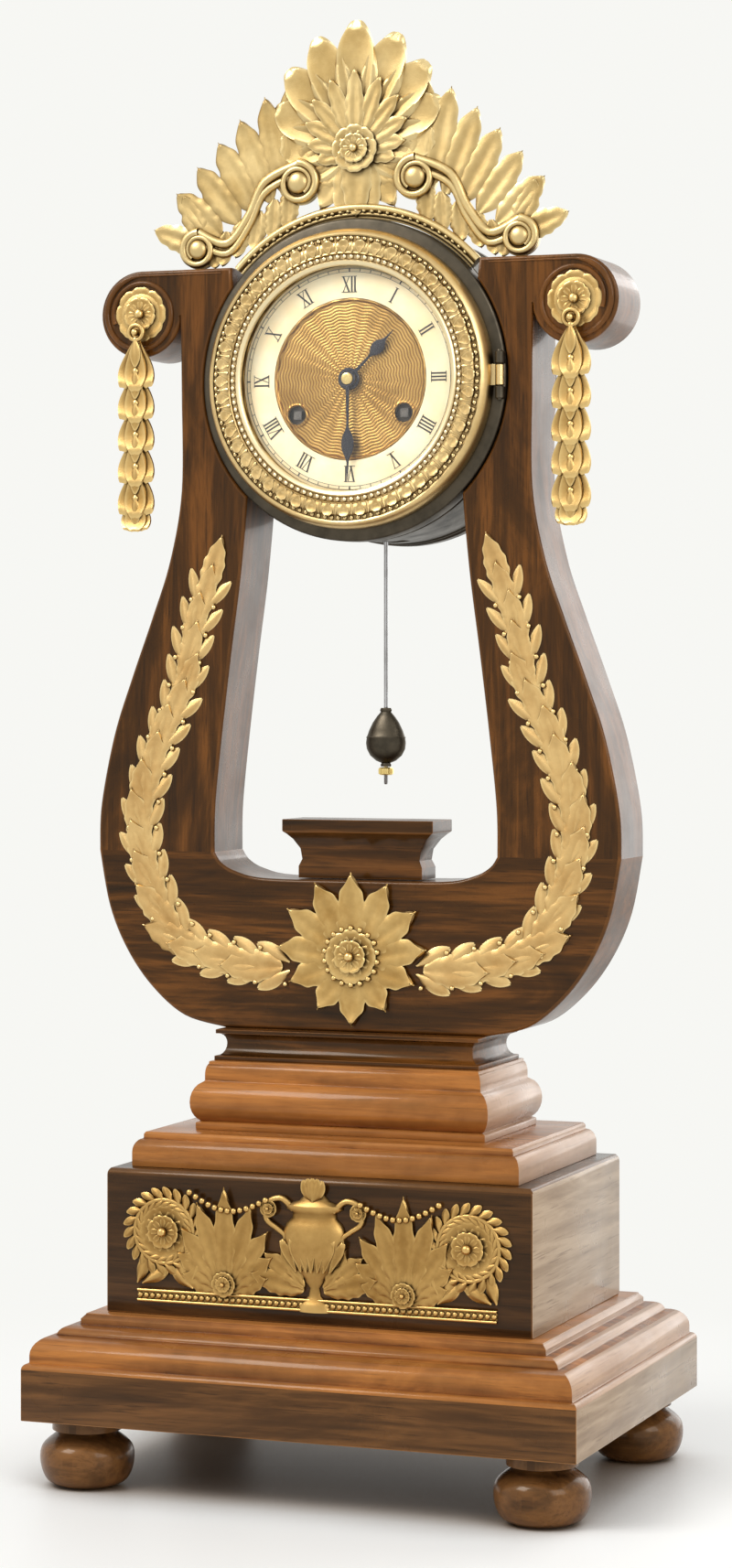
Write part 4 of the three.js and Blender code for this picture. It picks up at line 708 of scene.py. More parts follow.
def makeWood(name, along, tones, scale=1.0, move=(0, 0, 0), plain=True):
    # French-polished veneer with its grain along X, Y or Z; plain pieces are worn on their rounded edges only
    material, tree, shader, _ = newMaterial(name)
    dark, ground, light, rubbed = woodTones[tones]
    turns = {"X": (0, 0, 0), "Y": (0, 0, math.pi / 2), "Z": (0, math.pi / 2, 0)}
    vector = objectPlace(tree, turns[along], move)
    figure = useGroup(tree, woodFigure, vector, Scale=scale)
    colour = ramp(tree, figure.outputs["Figure"], [(0.0, dark), (0.45, ground), (0.8, light), (1.0, ground)])
    colour = blend(tree, maths(tree, "MULTIPLY", figure.outputs["Pores"], 0.7), colour, (*dark, 1))
    worn = useGroup(tree, edgeWear, vector, Scale=160, Edge=0.6, Hollow=0.42).outputs["Edges"]
    if plain:
        facing = node(tree, "ShaderNodeNewGeometry")
        parts = node(tree, "ShaderNodeSeparateXYZ")
        tree.links.new(facing.outputs["True Normal"], parts.inputs[0])
        x, y, z = (maths(tree, "ABSOLUTE", parts.outputs[i]) for i in range(3))
        square = maths(tree, "MAXIMUM", maths(tree, "MAXIMUM", x, y), z)
        worn = maths(tree, "MULTIPLY", worn, ranged(tree, square, 0.999, 0.98))
    colour = blend(tree, maths(tree, "MULTIPLY", worn, 0.75), colour, (*rubbed, 1))
    tree.links.new(colour, shader.inputs["Base Color"])
    smears = noise(tree, vector, 38, 4)
    tree.links.new(ranged(tree, smears, 0.35, 0.7, (0.24, 0.42)), shader.inputs["Roughness"])
    setInputs(shader, Specular_IOR_Level=0.2, Specular_Tint=(1, 0.72, 0.42, 1), Coat_Weight=0.25,
              Coat_Roughness=0.09)
    bump(tree, shader, maths(tree, "SUBTRACT", 1.0, figure.outputs["Pores"]), 0.12, 0.0001)
    return material


# painted shade: the toned-hollow colour is also laid where AO finds the casting closed in
giltTones = {  # toned hollows, matt ground, burnished high points
    "casting": ((0.07, 0.032, 0.009), (0.44, 0.26, 0.08), (0.84, 0.6, 0.25)),
    "band": ((0.09, 0.045, 0.014), (0.55, 0.33, 0.12), (0.9, 0.66, 0.3)),
    "crest": ((0.1, 0.05, 0.016), (0.48, 0.33, 0.13), (0.82, 0.64, 0.32)),
    "frieze": ((0.05, 0.022, 0.006), (0.33, 0.18, 0.05), (0.7, 0.45, 0.16)),
    "bezel": ((0.08, 0.04, 0.012), (0.52, 0.34, 0.13), (0.88, 0.66, 0.32)),
    "polished": ((0.3, 0.18, 0.06), (0.9, 0.72, 0.4), (0.96, 0.82, 0.52)),
}


def makeGilt(name, tones, grain=2600, rough=(0.3, 0.46), punch=0.16):
    # Fire-gilt casting: matt ground, brighter burnished edges, dark toning in the hollows and painted shade
    # where the AO finds them closed in
    material, tree, shader, _ = newMaterial(name)
    deep, matt, bright = ((*tone, 1) for tone in giltTones[tones])
    vector = objectPlace(tree)
    skin = useGroup(tree, castSkin, vector, Grain=grain)
    wear = useGroup(tree, edgeWear, vector, Scale=420, Edge=0.6, Hollow=0.41)
    # painted shade: AO darkens closed-in spots towards the hollow tone, on top of the toning in concave
    # hollows
    shade = node(tree, "ShaderNodeAmbientOcclusion", samples=6, in_Distance=0.004)
    paintedShadeAO = ranged(tree, shade.outputs["AO"], 0.95, 0.45)
    colour = blend(tree, skin.outputs["Patches"], matt, tuple((a + b) / 2 for a, b in zip(matt, bright)))
    colour = blend(tree, wear.outputs["Edges"], colour, bright)
    dark = maths(tree, "MAXIMUM", paintedShadeAO, maths(tree, "MULTIPLY", wear.outputs["Hollows"], 0.7))
    colour = blend(tree, maths(tree, "MULTIPLY", dark, 0.85), colour, deep)
    tree.links.new(colour, shader.inputs["Base Color"])
    rougher = maths(tree, "SUBTRACT", 1.0, wear.outputs["Edges"])
    tree.links.new(ranged(tree, rougher, 0, 1, rough), shader.inputs["Roughness"])
    shader.inputs["Metallic"].default_value = 1
    bump(tree, shader, skin.outputs["Height"], punch, 0.0002)
    return material


def makeDialGilt():
    # Engine turning: rings of waves round the dial's centre, on gilt brass
    material, tree, shader, _ = newMaterial("giltEngineTurned")
    vector = objectPlace(tree, move=(0, 0, -dialCentre.z * mm))
    parts = node(tree, "ShaderNodeSeparateXYZ")
    tree.links.new(vector, parts.inputs[0])
    across, up = parts.outputs["X"], parts.outputs["Z"]
    radius = maths(tree, "SQRT", maths(tree, "ADD", maths(tree, "MULTIPLY", across, across),
                                       maths(tree, "MULTIPLY", up, up)))
    angle = maths(tree, "ARCTAN2", up, across)
    sway = maths(tree, "MULTIPLY", maths(tree, "SINE", maths(tree, "MULTIPLY", angle, 24)), 1.5)
    rings = maths(tree, "SINE", maths(tree, "ADD", maths(tree, "MULTIPLY", radius, 5200), sway))
    toned = noise(tree, vector, 70, 4)
    colour = ramp(tree, toned, [(0.3, (0.44, 0.25, 0.06)), (0.7, (0.64, 0.4, 0.12))])
    colour = blend(tree, ranged(tree, rings, 0.1, -1), colour, (0.24, 0.11, 0.03, 1))
    tree.links.new(colour, shader.inputs["Base Color"])
    tree.links.new(ranged(tree, toned, 0.3, 0.7, (0.3, 0.44)), shader.inputs["Roughness"])
    shader.inputs["Metallic"].default_value = 1
    bump(tree, shader, rings, 0.35, 0.00015)
    return material


def makeMetal(name, colour, darker, rough, brushAlong="X", metallic=1.0):
    # Plain metal with fine strokes of the polishing stick, spots of tarnish and bright edges
    material, tree, shader, _ = newMaterial(name)
    vector = objectPlace(tree)
    strokes = node(tree, "ShaderNodeMapping")
    stretch = {"X": (30, 2500, 2500), "Y": (2500, 30, 2500), "Z": (2500, 2500, 30)}
    strokes.inputs["Scale"].default_value = stretch[brushAlong]
    tree.links.new(vector, strokes.inputs["Vector"])
    lines = noise(tree, strokes.outputs[0], 1, 3)
    tarnish = noise(tree, vector, 90, 5, 0.65)
    wear = useGroup(tree, edgeWear, vector, Scale=300, Edge=0.62, Hollow=0.4)
    base = blend(tree, ranged(tree, tarnish, 0.42, 0.72), (*colour, 1), (*darker, 1))
    base = blend(tree, maths(tree, "MULTIPLY", wear.outputs["Edges"], 0.6), base,
                 (*[min(1, 1.5 * part) for part in colour], 1))
    tree.links.new(base, shader.inputs["Base Color"])
    tree.links.new(ranged(tree, tarnish, 0.35, 0.7, (rough, rough + 0.16)), shader.inputs["Roughness"])
    shader.inputs["Metallic"].default_value = metallic
    bump(tree, shader, lines, 0.1, 0.0001)
    return material


def makeEnamel():
    # Fired enamel: cream, glossy and slightly wavy, with warmer clouds in it
    material, tree, shader, _ = newMaterial("creamEnamel")
    vector = objectPlace(tree)
    clouds = noise(tree, vector, 60, 4)
    colour = ramp(tree, clouds, [(0.3, (1.0, 0.76, 0.4)), (0.62, (1.0, 0.87, 0.56))])
    tree.links.new(colour, shader.inputs["Base Color"])
    setInputs(shader, Roughness=0.22, Coat_Weight=0.6, Coat_Roughness=0.05)
    bump(tree, shader, noise(tree, vector, 240, 2), 0.06, 0.0003)
    return material


def makeGlass():
    material, tree, shader, out = newMaterial("clearGlass")
    setInputs(shader, Base_Color=(1, 1, 1, 1), Roughness=0.0, IOR=1.45, Transmission_Weight=1)
    clear = node(tree, "ShaderNodeBsdfTransparent")
    path = node(tree, "ShaderNodeLightPath")
    mixed = node(tree, "ShaderNodeMixShader")
    tree.links.new(path.outputs["Is Shadow Ray"], mixed.inputs[0])
    tree.links.new(shader.outputs[0], mixed.inputs[1])
    tree.links.new(clear.outputs[0], mixed.inputs[2])
    tree.links.new(mixed.outputs[0], out.inputs["Surface"])
    return material


woodLying = makeWood("woodGrainAcross", "X", "case", plain=False)
woodPlinth = makeWood("woodGrainPlinth", "X", "plinth", 0.9, (0.4, 0.7, 0.2))
# painted shade: darker tones for the base's plain vertical face, below its lit mouldings
woodBaseFacePaintedShade = makeWood("woodGrainBaseFacePaintedShade", "X", "base", 1.0, (0.3, 0.2, 0.1))
# painted sheen: pale tones for faces that look to the side, and for the side mouldings
woodPaintedSheen = makeWood("woodSidesPaintedSheen", "Y", "paled", 0.9, (0.1, 0.3, 0.4))
woodPaintedSheenMould = makeWood("woodMouldingsPaintedSheen", "Y", "paintedSheenMould", 1.0, (0.5, 0.2, 0.3), plain=False)
woodFeet = makeWood("woodFeet", "X", "base", 1.3, (0.2, 0.1, 0.5))
woodUpright = makeWood("woodGrainUpright", "Z", "lyre", 1.1, (0.31, 0.1, 0))
woodBow = makeWood("woodGrainBow", "X", "lyre", 1.1, (0.1, 0.2, 0))
gilt = makeGilt("giltCasting", "casting")
giltBand = makeGilt("giltBands", "band")
giltCrest = makeGilt("giltCrest", "crest")
giltFrieze = makeGilt("giltFrieze", "frieze")
giltBezel = makeGilt("giltBezel", "bezel", grain=3400, rough=(0.24, 0.38), punch=0.08)
giltPolished = makeGilt("giltPolished", "polished", grain=3400, rough=(0.3, 0.4), punch=0.03)
giltDial = makeDialGilt()
bronze = makeMetal("darkPatina", (0.085, 0.07, 0.05), (0.03, 0.028, 0.022), 0.36)
brass = makeMetal("grainedBrass", (0.78, 0.55, 0.22), (0.5, 0.31, 0.1), 0.24)
steel = makeMetal("polishedSteel", (0.52, 0.52, 0.53), (0.3, 0.29, 0.28), 0.22, "Z")
blued = makeMetal("bluedSteel", (0.012, 0.013, 0.022), (0.006, 0.006, 0.009), 0.34, metallic=0.3)
# painted shade: a dark steel for the winding arbors, standing in for the shade inside the dial's holes
holeShadeSteel = makeMetal("steelPaintedHoleShade", (0.12, 0.11, 0.1), (0.05, 0.045, 0.04), 0.4, "Y")
ink = makeMetal("bakedBlack", (0.015, 0.013, 0.012), (0.03, 0.025, 0.02), 0.35, metallic=0.0)
enamel = makeEnamel()
glass = makeGlass()
print("finishes made")


def refinish(piece, material, test):  # another material on the faces that pass the test
    only(piece)
    piece.data.materials.append(material)
    choose("FACE", test)
    piece.active_material_index = len(piece.data.materials) - 1
    bpy.ops.object.material_slot_assign()
    bpy.ops.object.mode_set(mode="OBJECT")


# Feet: turned buns on a short neck

footLow, footHigh = boxOf("foot_front_left")
footRadius = (footHigh.x - footLow.x) / 2
footTall = footHigh.z - footLow.z
bunShares = [(0.6, 0), (0.86, 0.1), (0.99, 0.34), (0.95, 0.58), (0.66, 0.76)]
bun = flowing([(s * footRadius, up * footTall) for s, up in bunShares], 5)
collarLow, collarHigh = (0.74 * footRadius, 0.82 * footTall), (0.74 * footRadius, 0.96 * footTall)
footProfile = [(0, 0), *bun, (0.62 * footRadius, 0.8 * footTall), collarLow,
               *quarter(collarLow, collarHigh, steps=2), (0.76 * footRadius, footTall), (0, footTall)]
for corner in ("front_left", "front_right", "back_left", "back_right"):
    low, high = boxOf("foot_" + corner)
    foot = spun("bunFoot_" + corner, footProfile, ((low.x + high.x) / 2, (low.y + high.y) / 2, 0), "Z", 56)
    dress(foot, woodFeet, ["foot_" + corner])

# Base, plinth, pedestal and neck: levels and insets in mm, from each piece's own box

def blockOf(node):
    low, high = boxOf(node)
    return (high.x - low.x) / 2, (high.y - low.y) / 2, low.z, high.z


halfX, halfY, low, high = blockOf("base_tier")
faceHigh = low + 19.4  # top of the plain face under the mouldings
baseProfile = [(0, low), (0, faceHigh), *quarter((0, faceHigh), (2.4, low + 21.6), steps=4),
               (2.4, low + 24.6), *quarter((2.4, low + 24.6), (10.2, low + 31.6), steps=7),
               *quarter((10.2, low + 31.6), (15.7, low + 35), steps=7),
               (17, low + 35), (17, low + 37), (18.5, high - 0.4), (18.5, high)]
base = dress(moulded("baseMoulding", halfX, halfY, baseProfile), woodLying, ["base_tier"], angle=30)

def onSide(side):  # a face that looks to the left or the right
    return abs(side.normal.x) > max(0.3, abs(side.normal.y))


# the plain faces get darker tones than the mouldings over them, as painted shade, and the sides a painted
# sheen
refinish(base, woodPaintedSheenMould, onSide)
# painted shade on the base's plain face
refinish(base, woodBaseFacePaintedShade, lambda side: side.center.z < faceHigh * mm)
refinish(base, woodPaintedSheen, lambda side: side.center.z < faceHigh * mm and abs(side.normal.x) > 0.9)

halfX, halfY, low, high = blockOf("plinth_block")
plinthProfile = [(0, low), (0, high - 2.6), *quarter((0, high - 2.6), (2, high), steps=5)]
plinth = moulded("plinthVeneered", halfX, halfY, plinthProfile, 0.6)
dress(plinth, woodPlinth, ["plinth_block"], angle=30)
# painted sheen on the plinth's sides
refinish(plinth, woodPaintedSheen, lambda side: abs(side.normal.x) > 0.9)

halfX, halfY, low, high = blockOf("pedestal")
stepProfile = [(0, low), (0, low + 5.4), *quarter((0, low + 5.4), (3.4, low + 10.4), steps=6),
               (3.4, low + 12), (4, low + 13)]
torus = {"halfX": 61.6, "halfY": 33.6, "steps": 12, "inset": 0.9, "bulge": 4.6, "foot": 16, "rise": 15}
roll = []
for i in range(1, torus["steps"]):
    around = math.pi * i / torus["steps"]
    roll.append((torus["inset"] + torus["bulge"] * (1 - math.sin(around)),
                 low + torus["foot"] + torus["rise"] * (1 - math.cos(around)) / 2))
torusProfile = [(2.7, low + 13), (2.7, low + 15.6), *roll, (5.4, low + 31.4), (5.4, low + 33.6),
                *quarter((5.4, low + 33.6), (6.6, high - 1.2), steps=6), (6.6, high)]
pedestal = joined("pedestalMouldings", [
    moulded("step", halfX, halfY, stepProfile),
    moulded("torus", torus["halfX"], torus["halfY"], torusProfile),
])
dress(pedestal, woodLying, ["pedestal"], angle=30)
# painted sheen on the pedestal's side mouldings
refinish(pedestal, woodPaintedSheenMould, onSide)

halfX, halfY, low, high = blockOf("pedestal_neck")
neckProfile = [(0, low), (0, low + 1.8), *quarter((0.6, low + 1.8), (3.8, low + 6.6), hollow=True, steps=5),
               *quarter((3.8, low + 6.6), (1.2, low + 10.4), steps=5), (0.4, low + 10.4), (0.4, high)]
dress(moulded("neckScotia", halfX, halfY, neckProfile, 0.25), woodBow, ["pedestal_neck"], angle=30)
print("base and pedestal made")


# Lyre: bow and two arms with out-turned volutes

bowLow, bowHigh = boxOf("lyre_bow")
armLow, armHigh = boxOf("lyre_arm_right")
lyre = {
    "bellyOuter": 107, "bellyInner": 58, "shoulder": 72, "waist": 44, "top": 51,
    "volute": 17, "voluteAcross": 89, "floor": bowLow.z + 58,
    "edge": 1.2, "drumSeat": 62.35, "seatDepth": 90,
    "bead": 1.9,  # how far the volute's bead lies inside the rim
    "capDeepShare": 0.62,
}
bowRise, armRise = bowHigh.z - bowLow.z, armHigh.z - armLow.z
outerShares = [(0.5, 0), (0.66, 0.06), (0.79, 0.22), (0.89, 0.43), (0.96, 0.68), (1, 1)]
innerShares = [(0, 0), (0.62, 0.02), (0.84, 0.26), (0.95, 0.6), (1, 1)]
bowOuter = flowing([(s * lyre["bellyOuter"], bowLow.z + up * bowRise) for s, up in outerShares], 6)
floorRise = bowHigh.z - lyre["floor"]
bowInner = flowing([(s * lyre["bellyInner"], lyre["floor"] + up * floorRise) for s, up in innerShares], 5)
bowRight = bowOuter + bowInner[::-1]
bowOutline = bowRight + [(-x, z) for x, z in bowRight[-2::-1]]
bow = eased(plate("lyreBow", bowOutline, bowLow.y, bowHigh.y), lyre["edge"], bowHigh.z)
dress(bow, woodBow, ["lyre_bow"], angle=40, flat=True)

armOuterShares = [(1, 0), (0.98, 0.08), (0.82, 0.2), (0.6, 0.3), (0.36, 0.4), (0.14, 0.5), (0, 0.62),
                  (0, 0.78)]
armInnerShares = [(1, 0), (0.98, 0.08), (0.78, 0.2), (0.5, 0.34), (0.2, 0.48), (0, 0.62), (0, 0.7)]
outerWay = lyre["bellyOuter"] - lyre["shoulder"]
innerWay = lyre["bellyInner"] - lyre["waist"]
armOuter = flowing([(lyre["shoulder"] + s * outerWay, armLow.z + up * armRise)
                    for s, up in armOuterShares])
armInner = flowing([(lyre["waist"] + s * innerWay, armLow.z + up * armRise) for s, up in armInnerShares])
eye = Vector((lyre["voluteAcross"], armHigh.z - lyre["volute"]))
scroll = arc(eye.x, eye.y, lyre["volute"], 178, 450, 40)
armOutline = armOuter + scroll + [(lyre["top"], armHigh.z)] + armInner[::-1]
arm = plate("lyreArmRight", armOutline, armLow.y, armHigh.y)
bored(arm, lyre["drumSeat"], (0, 0, dialCentre.z), lyre["seatDepth"], 128)
eased(outwards(arm), lyre["edge"], armLow.z)


def spiral(x, z, start, end, fromAngle, turns, steps=72):
    line = []
    for i in range(steps + 1):
        share = i / steps
        radius = start + (end - start) * share
        angle = math.radians(fromAngle) - 2 * math.pi * turns * share
        line.append((x + radius * math.cos(angle), z + radius * math.sin(angle)))
    return line


scrollLine = [(lyre["top"] + along, armHigh.z - lyre["bead"]) for along in (4, 22)]
scrollLine += spiral(eye.x, eye.y, lyre["volute"] - lyre["bead"], 11.4, 90, 1.3)
scrollBead = stem("voluteBead", scrollLine, lambda s: min(0.2 + 12 * s, 1.25 - 0.35 * s), armLow.y - 0.1)
arm = joined("lyreArmRight", [arm, scrollBead])
otherArm = mirroredCopy(arm)
otherArm.name = "lyreArmLeft"
dress(arm, woodUpright, ["lyre_arm_right"], angle=40, flat=True)
dress(otherArm, woodUpright, ["lyre_arm_left"], angle=40, flat=True)

capLow, capHigh = boxOf("opening_cap")
capHalf = (capHigh.x - capLow.x) / 2
capRise = capHigh.z - capLow.z
capShares = [(0.74, 0), (0.82, 0), (0.82, 0.2), (0.78, 0.32), (0.8, 0.5), (0.88, 0.66), (0.96, 0.76),
             (1, 0.8), (1, 1)]
capProfile = [((1 - s) * capHalf, capLow.z + up * capRise) for s, up in capShares]
capDeep = capHalf * lyre["capDeepShare"]
cap = moulded("openingCap", capHalf, capDeep, capProfile, 0.3)
pick(lambda co: True)
bpy.ops.transform.resize(value=(1, (capHigh.y - capLow.y) / (2 * capDeep), 1), center_override=(0, 0, 0))
bpy.ops.object.mode_set(mode="OBJECT")
dress(cap, woodBow, ["opening_cap"], angle=30)
print("lyre made")


# Gilt mounts on the lyre: a leafy band down each arm, and a palmette on the bow

def evenly(line, count):  # places along a line, each with its direction
    spots = [Vector(point) for point in line]
    reach = [0]
    for a, b in zip(spots, spots[1:]):
        reach.append(reach[-1] + (b - a).length)
    places = []
    for i in range(count):
        want = reach[-1] * i / (count - 1)
        k = max(j for j in range(len(spots) - 1) if reach[j] <= want + 1e-9)
        way = (spots[k + 1] - spots[k]).normalized()
        places.append((spots[k] + way * (want - reach[k]), way))
    return places


def leanOf(way):
    return math.degrees(math.atan2(way.x, way.y))


armBand = {
    "leaves": 17, "length": 25, "width": 15, "depth": 7,
    "sideLength": 15, "sideWidth": 6.4, "sideLean": 28, "pearl": 1.0,
}
bandShares = [(0.29, 0.43), (0.37, 0.36), (0.455, 0.265), (0.62, 0.156), (0.7, 0.03), (0.58, -0.085),
              (0.36, -0.16), (-0.05, -0.19), (-0.24, -0.192)]
bandReach = lyre["bellyOuter"] - lyre["waist"]
bandLine = flowing([(lyre["waist"] + s * bandReach, armLow.z + up * armRise) for s, up in bandShares])[::-1]
face = armLow.y
band = []
for i, (spot, way) in enumerate(evenly(bandLine, armBand["leaves"])):
    lean = leanOf(way)
    fade = 1 - 0.3 * i / armBand["leaves"]  # the band narrows upwards
    band.append(lay("acanthus", armBand["length"], armBand["width"] * fade, lean, *spot, face - 0.3,
                    armBand["depth"]))
    for side in (-1, 1):
        outward = Vector((way.y, -way.x)) * side
        foot = spot + outward * 1.6 - way * 3
        band.append(lay("laurel", armBand["sideLength"], armBand["sideWidth"] * fade,
                        lean + side * armBand["sideLean"], *foot, face, armBand["depth"] * 0.8))
        berry = spot + outward * armBand["width"] * 0.46 * fade - way * 1
        band.append(pearl(*berry, face - 0.6, armBand["pearl"]))
band = joined("armBandRight", band)
otherBand = mirroredCopy(band)
otherBand.name = "armBandLeft"
dress(band, giltBand, ["arm_mount_right"], angle=60)
dress(otherBand, giltBand, ["arm_mount_left"], angle=60)

bowMount = {"up": (bowLow.z + lyre["floor"]) / 2, "length": 30, "width": 15, "boss": 9.5, "depth": 8,
            "pearls": 18, "pearlsOut": 1.4}
fan = [(180, 0.84), (146, 0.78), (112, 0.86), (84, 0.96), (56, 0.99), (28, 0.99), (0, 1)]
palmette = []
for order, (lean, share) in enumerate(fan):
    for side in ((1,) if lean % 180 == 0 else (-1, 1)):
        palmette.append(lay("acanthus", bowMount["length"] * share, bowMount["width"], side * lean, 0,
                            bowMount["up"], face - 0.9 - 0.12 * order, bowMount["depth"]))
out = bowMount["boss"] + bowMount["pearlsOut"]
for i in range(bowMount["pearls"]):
    lean = math.radians(360 / bowMount["pearls"] * i)
    palmette.append(pearl(out * math.sin(lean), bowMount["up"] + out * math.cos(lean), face - 2.6, 1.1))
palmette.append(rosette("boss", bowMount["boss"], 0, bowMount["up"], face - 2.4, 3.2))
dress(joined("bowPalmette", palmette), gilt, ["bow_mount"], angle=60)
print("lyre mounts made")


# Rosettes in the volute eyes, and the husk drops that hang from them

husk = {"rows": 6, "ring": 2.9, "ringThick": 0.95, "ringSides": 10, "pinUp": 2.6}
for name in ("left", "right"):
    low, high = boxOf("volute_rosette_" + name)
    across = (low.x + high.x) / 2
    middle = high.z - (high.x - low.x) / 2
    radius = (high.x - low.x) / 2
    pin = middle - radius + husk["pinUp"]
    flower = rosette("flower", radius * 0.98, across, middle, high.y - 1.6, 2.6)
    backing = spun("backing", [
        (0, high.y), (radius * 0.96, high.y), (radius * 0.96, high.y - 1.2), (radius * 0.8, high.y - 1.9),
        (0, high.y - 1.9)], (across, 0, middle), steps=48)
    hook = spun("hook", [
        (0, high.y - 1), (1.25, high.y - 1), (1.25, low.y + 0.9), (0.9, low.y + 0.4), (0, low.y)],
        (across, 0, pin), steps=20)
    dress(joined("voluteRosette_" + name, [flower, backing, hook]), gilt, ["volute_rosette_" + name],
          angle=50)
    low, high = boxOf("husk_drop_" + name)
    back, width = high.y, high.x - low.x
    turns = [2 * math.pi * i / husk["ringSides"] for i in range(husk["ringSides"] + 1)]
    loop = [(husk["ring"] + husk["ringThick"] * math.cos(a),
             (low.y + back) / 2 + husk["ringThick"] * math.sin(a)) for a in turns]
    drop = [spun("ring", loop, (across, 0, pin), steps=32)]
    huskLength = (pin - low.z - 3.4) / husk["rows"]
    for i in range(husk["rows"]):
        top = pin - 3.2 - i * huskLength
        for lean, share, wide, out in ((-16, 1.5, 0.5, 0), (16, 1.5, 0.5, 0), (0, 1.55, 0.62, 0.7)):
            long = min(huskLength * share, top - low.z)
            drop.append(lay("petal", long, width * wide, 180 + lean, across, top + 1, back - 1.1 - out, 6))
        drop.append(lay("laurel", huskLength * 0.9, width * 0.3, 180, across, top + 1, back - 2.6, 4.4))
        drop.append(pearl(across, top + 0.4, back - 2.2, 1.4))
    drop.append(pearl(across, low.z + 1.3, back - 1.8, 1.3))
    dress(joined("huskDrop_" + name, drop), gilt, ["husk_drop_" + name], "drop_" + name, angle=50)
print("rosettes and drops made")


# Frieze on the plinth: a two-handled urn, a standing palmette and a wreath on each side, on a beaded rail

friezeHigh = boxOf("plinth_frieze")[1]
frieze = {
    "up": 5, "railHalf": 72, "railHigh": 5, "beads": 57, "urnHalf": 12.5, "depth": 7,
    "palmette": (36, 6.5), "wreath": (61, 27, 12), "wreathPairs": 22, "swagPearls": 13,
}
floorUp, ground = boxOf("plinth_block")[0].z + frieze["up"], friezeHigh.y
urnShares = [(0, 0), (0.52, 0), (0.52, 0.05), (0.42, 0.07), (0.2, 0.12), (0.16, 0.18), (0.3, 0.22),
             (0.34, 0.25), (0.62, 0.32), (0.88, 0.42), (1, 0.53), (1, 0.6), (0.9, 0.66), (0.72, 0.7),
             (0.7, 0.74), (0.92, 0.77), (0.92, 0.8), (0.5, 0.83), (0.3, 0.88), (0, 0.9)]
urnHigh = friezeHigh.z - floorUp
urn = spun("urn", [(s * frieze["urnHalf"], up * urnHigh) for s, up in urnShares], axis="Z", steps=40)
urn.scale, urn.location = (1, 0.4, 1), (0, ground - 0.2, floorUp)
relief = [settle(urn)]
for i, lean in enumerate((-26, 26, -13, 13, 0)):
    relief.append(lay("laurel", urnHigh * 0.18, 5, lean, 0, floorUp + urnHigh * 0.82,
                      ground - 2.2 - 0.1 * i, 5))
for i in range(-3, 4):
    relief.append(lay("petal", urnHigh * 0.24, 3.6, i * 9, i * 2.2, floorUp + urnHigh * 0.3,
                      ground - 4 + abs(i) * 0.55, 4))
railHalf, railHigh = frieze["railHalf"], frieze["railHigh"]
for level in (0.6, railHigh - 0.6):
    ends = [(-railHalf, floorUp + level), (railHalf, floorUp + level)]
    relief.append(stem("rail", ends, 0.6, ground - 1.1))
for i in range(frieze["beads"]):
    across = railHalf * 0.985 * (2 * i / (frieze["beads"] - 1) - 1)
    relief.append(pearl(across, floorUp + railHigh / 2, ground - 0.9, 1.2))
rail = [(-railHalf, floorUp), (railHalf, floorUp), (railHalf, floorUp + railHigh),
        (-railHalf, floorUp + railHigh)]
relief.append(plate("railGround", rail, ground - 0.9, ground, 0.2))
half = []
handle = flowing([(8, 38), (13, 42), (18.5, 40), (19, 34), (14.5, 30.5), (11.5, 28), (12, 24.5)], 6)
half.append(stem("handle", [(x, floorUp + z) for x, z in handle], lambda s: 1.25 - 0.3 * s, ground - 1.4))
half.append(rosette("handleEnd", 3, 18, floorUp + 38, ground - 2.2, 1.6, 6))
for lean, length, width, x, z in ((76, 21, 11, 4, 8), (52, 19, 10, 4, 9), (30, 15, 8, 5, 10)):
    half.append(lay("acanthus", length, width, lean, x, floorUp + z, ground - 0.9, frieze["depth"]))
px, pz = frieze["palmette"]
pairs = ((74, 17), (56, 22), (38, 27), (19, 32))
fan = [(side * lean, length) for lean, length in pairs for side in (-1, 1)]
for i, (lean, length) in enumerate([*fan, (0, 36)]):
    half.append(lay("acanthus", length, 10.5, lean, px, floorUp + pz, ground - 0.9 - 0.1 * i,
                    frieze["depth"]))
half.append(rosette("palmetteHeart", 4.4, px, floorUp + pz + 2, ground - 3, 1.6, 8))
wx, wz, wr = frieze["wreath"]
half.append(stem("wreathStem", arc(wx, floorUp + wz, wr, 0, 360, 48)[:-1], 1, ground - 1, closed=True))
for i in range(frieze["wreathPairs"]):
    lean = 360 * i / frieze["wreathPairs"]
    around = math.radians(lean)
    for tilt in (38, -38):
        half.append(lay("laurel", 6.4, 3.2, lean + 90 + tilt, wx + wr * math.sin(around),
                        floorUp + wz + wr * math.cos(around), ground - 1.2, 5))
half.append(rosette("wreathFlower", 9.4, wx, floorUp + wz, ground - 1.2, 3))
half.append(spun("wreathGround", [(0, ground), (wr, ground), (wr, ground - 0.8), (0, ground - 0.8)],
                 (wx, 0, floorUp + wz), steps=40))
sprigs = ((-26, 13, 50, 8), (22, 12, 51, 7), (-62, 12, 70, 7), (-20, 11, 72, 7), (52, 11, 49, 6))
for lean, length, x, z in sprigs:
    half.append(lay("laurel", length, 5, lean, x, floorUp + z, ground - 0.8, frieze["depth"]))
for i in range(frieze["swagPearls"]):  # a string of pearls from the urn's handle to the wreath
    share = i / (frieze["swagPearls"] - 1)
    hang = 41 - 5.5 * math.sin(math.pi * share) + 1.5 * share
    half.append(pearl(19 + 31 * share, floorUp + hang, ground - 2.6, 1.25))
half = joined("halfFrieze", half)
relief += [half, mirroredCopy(half)]
dress(joined("plinthFrieze", relief), giltFrieze, ["plinth_frieze"], angle=60)
print("frieze made")


# Crest: a palmette over two scrolls, with leaves down to the volutes

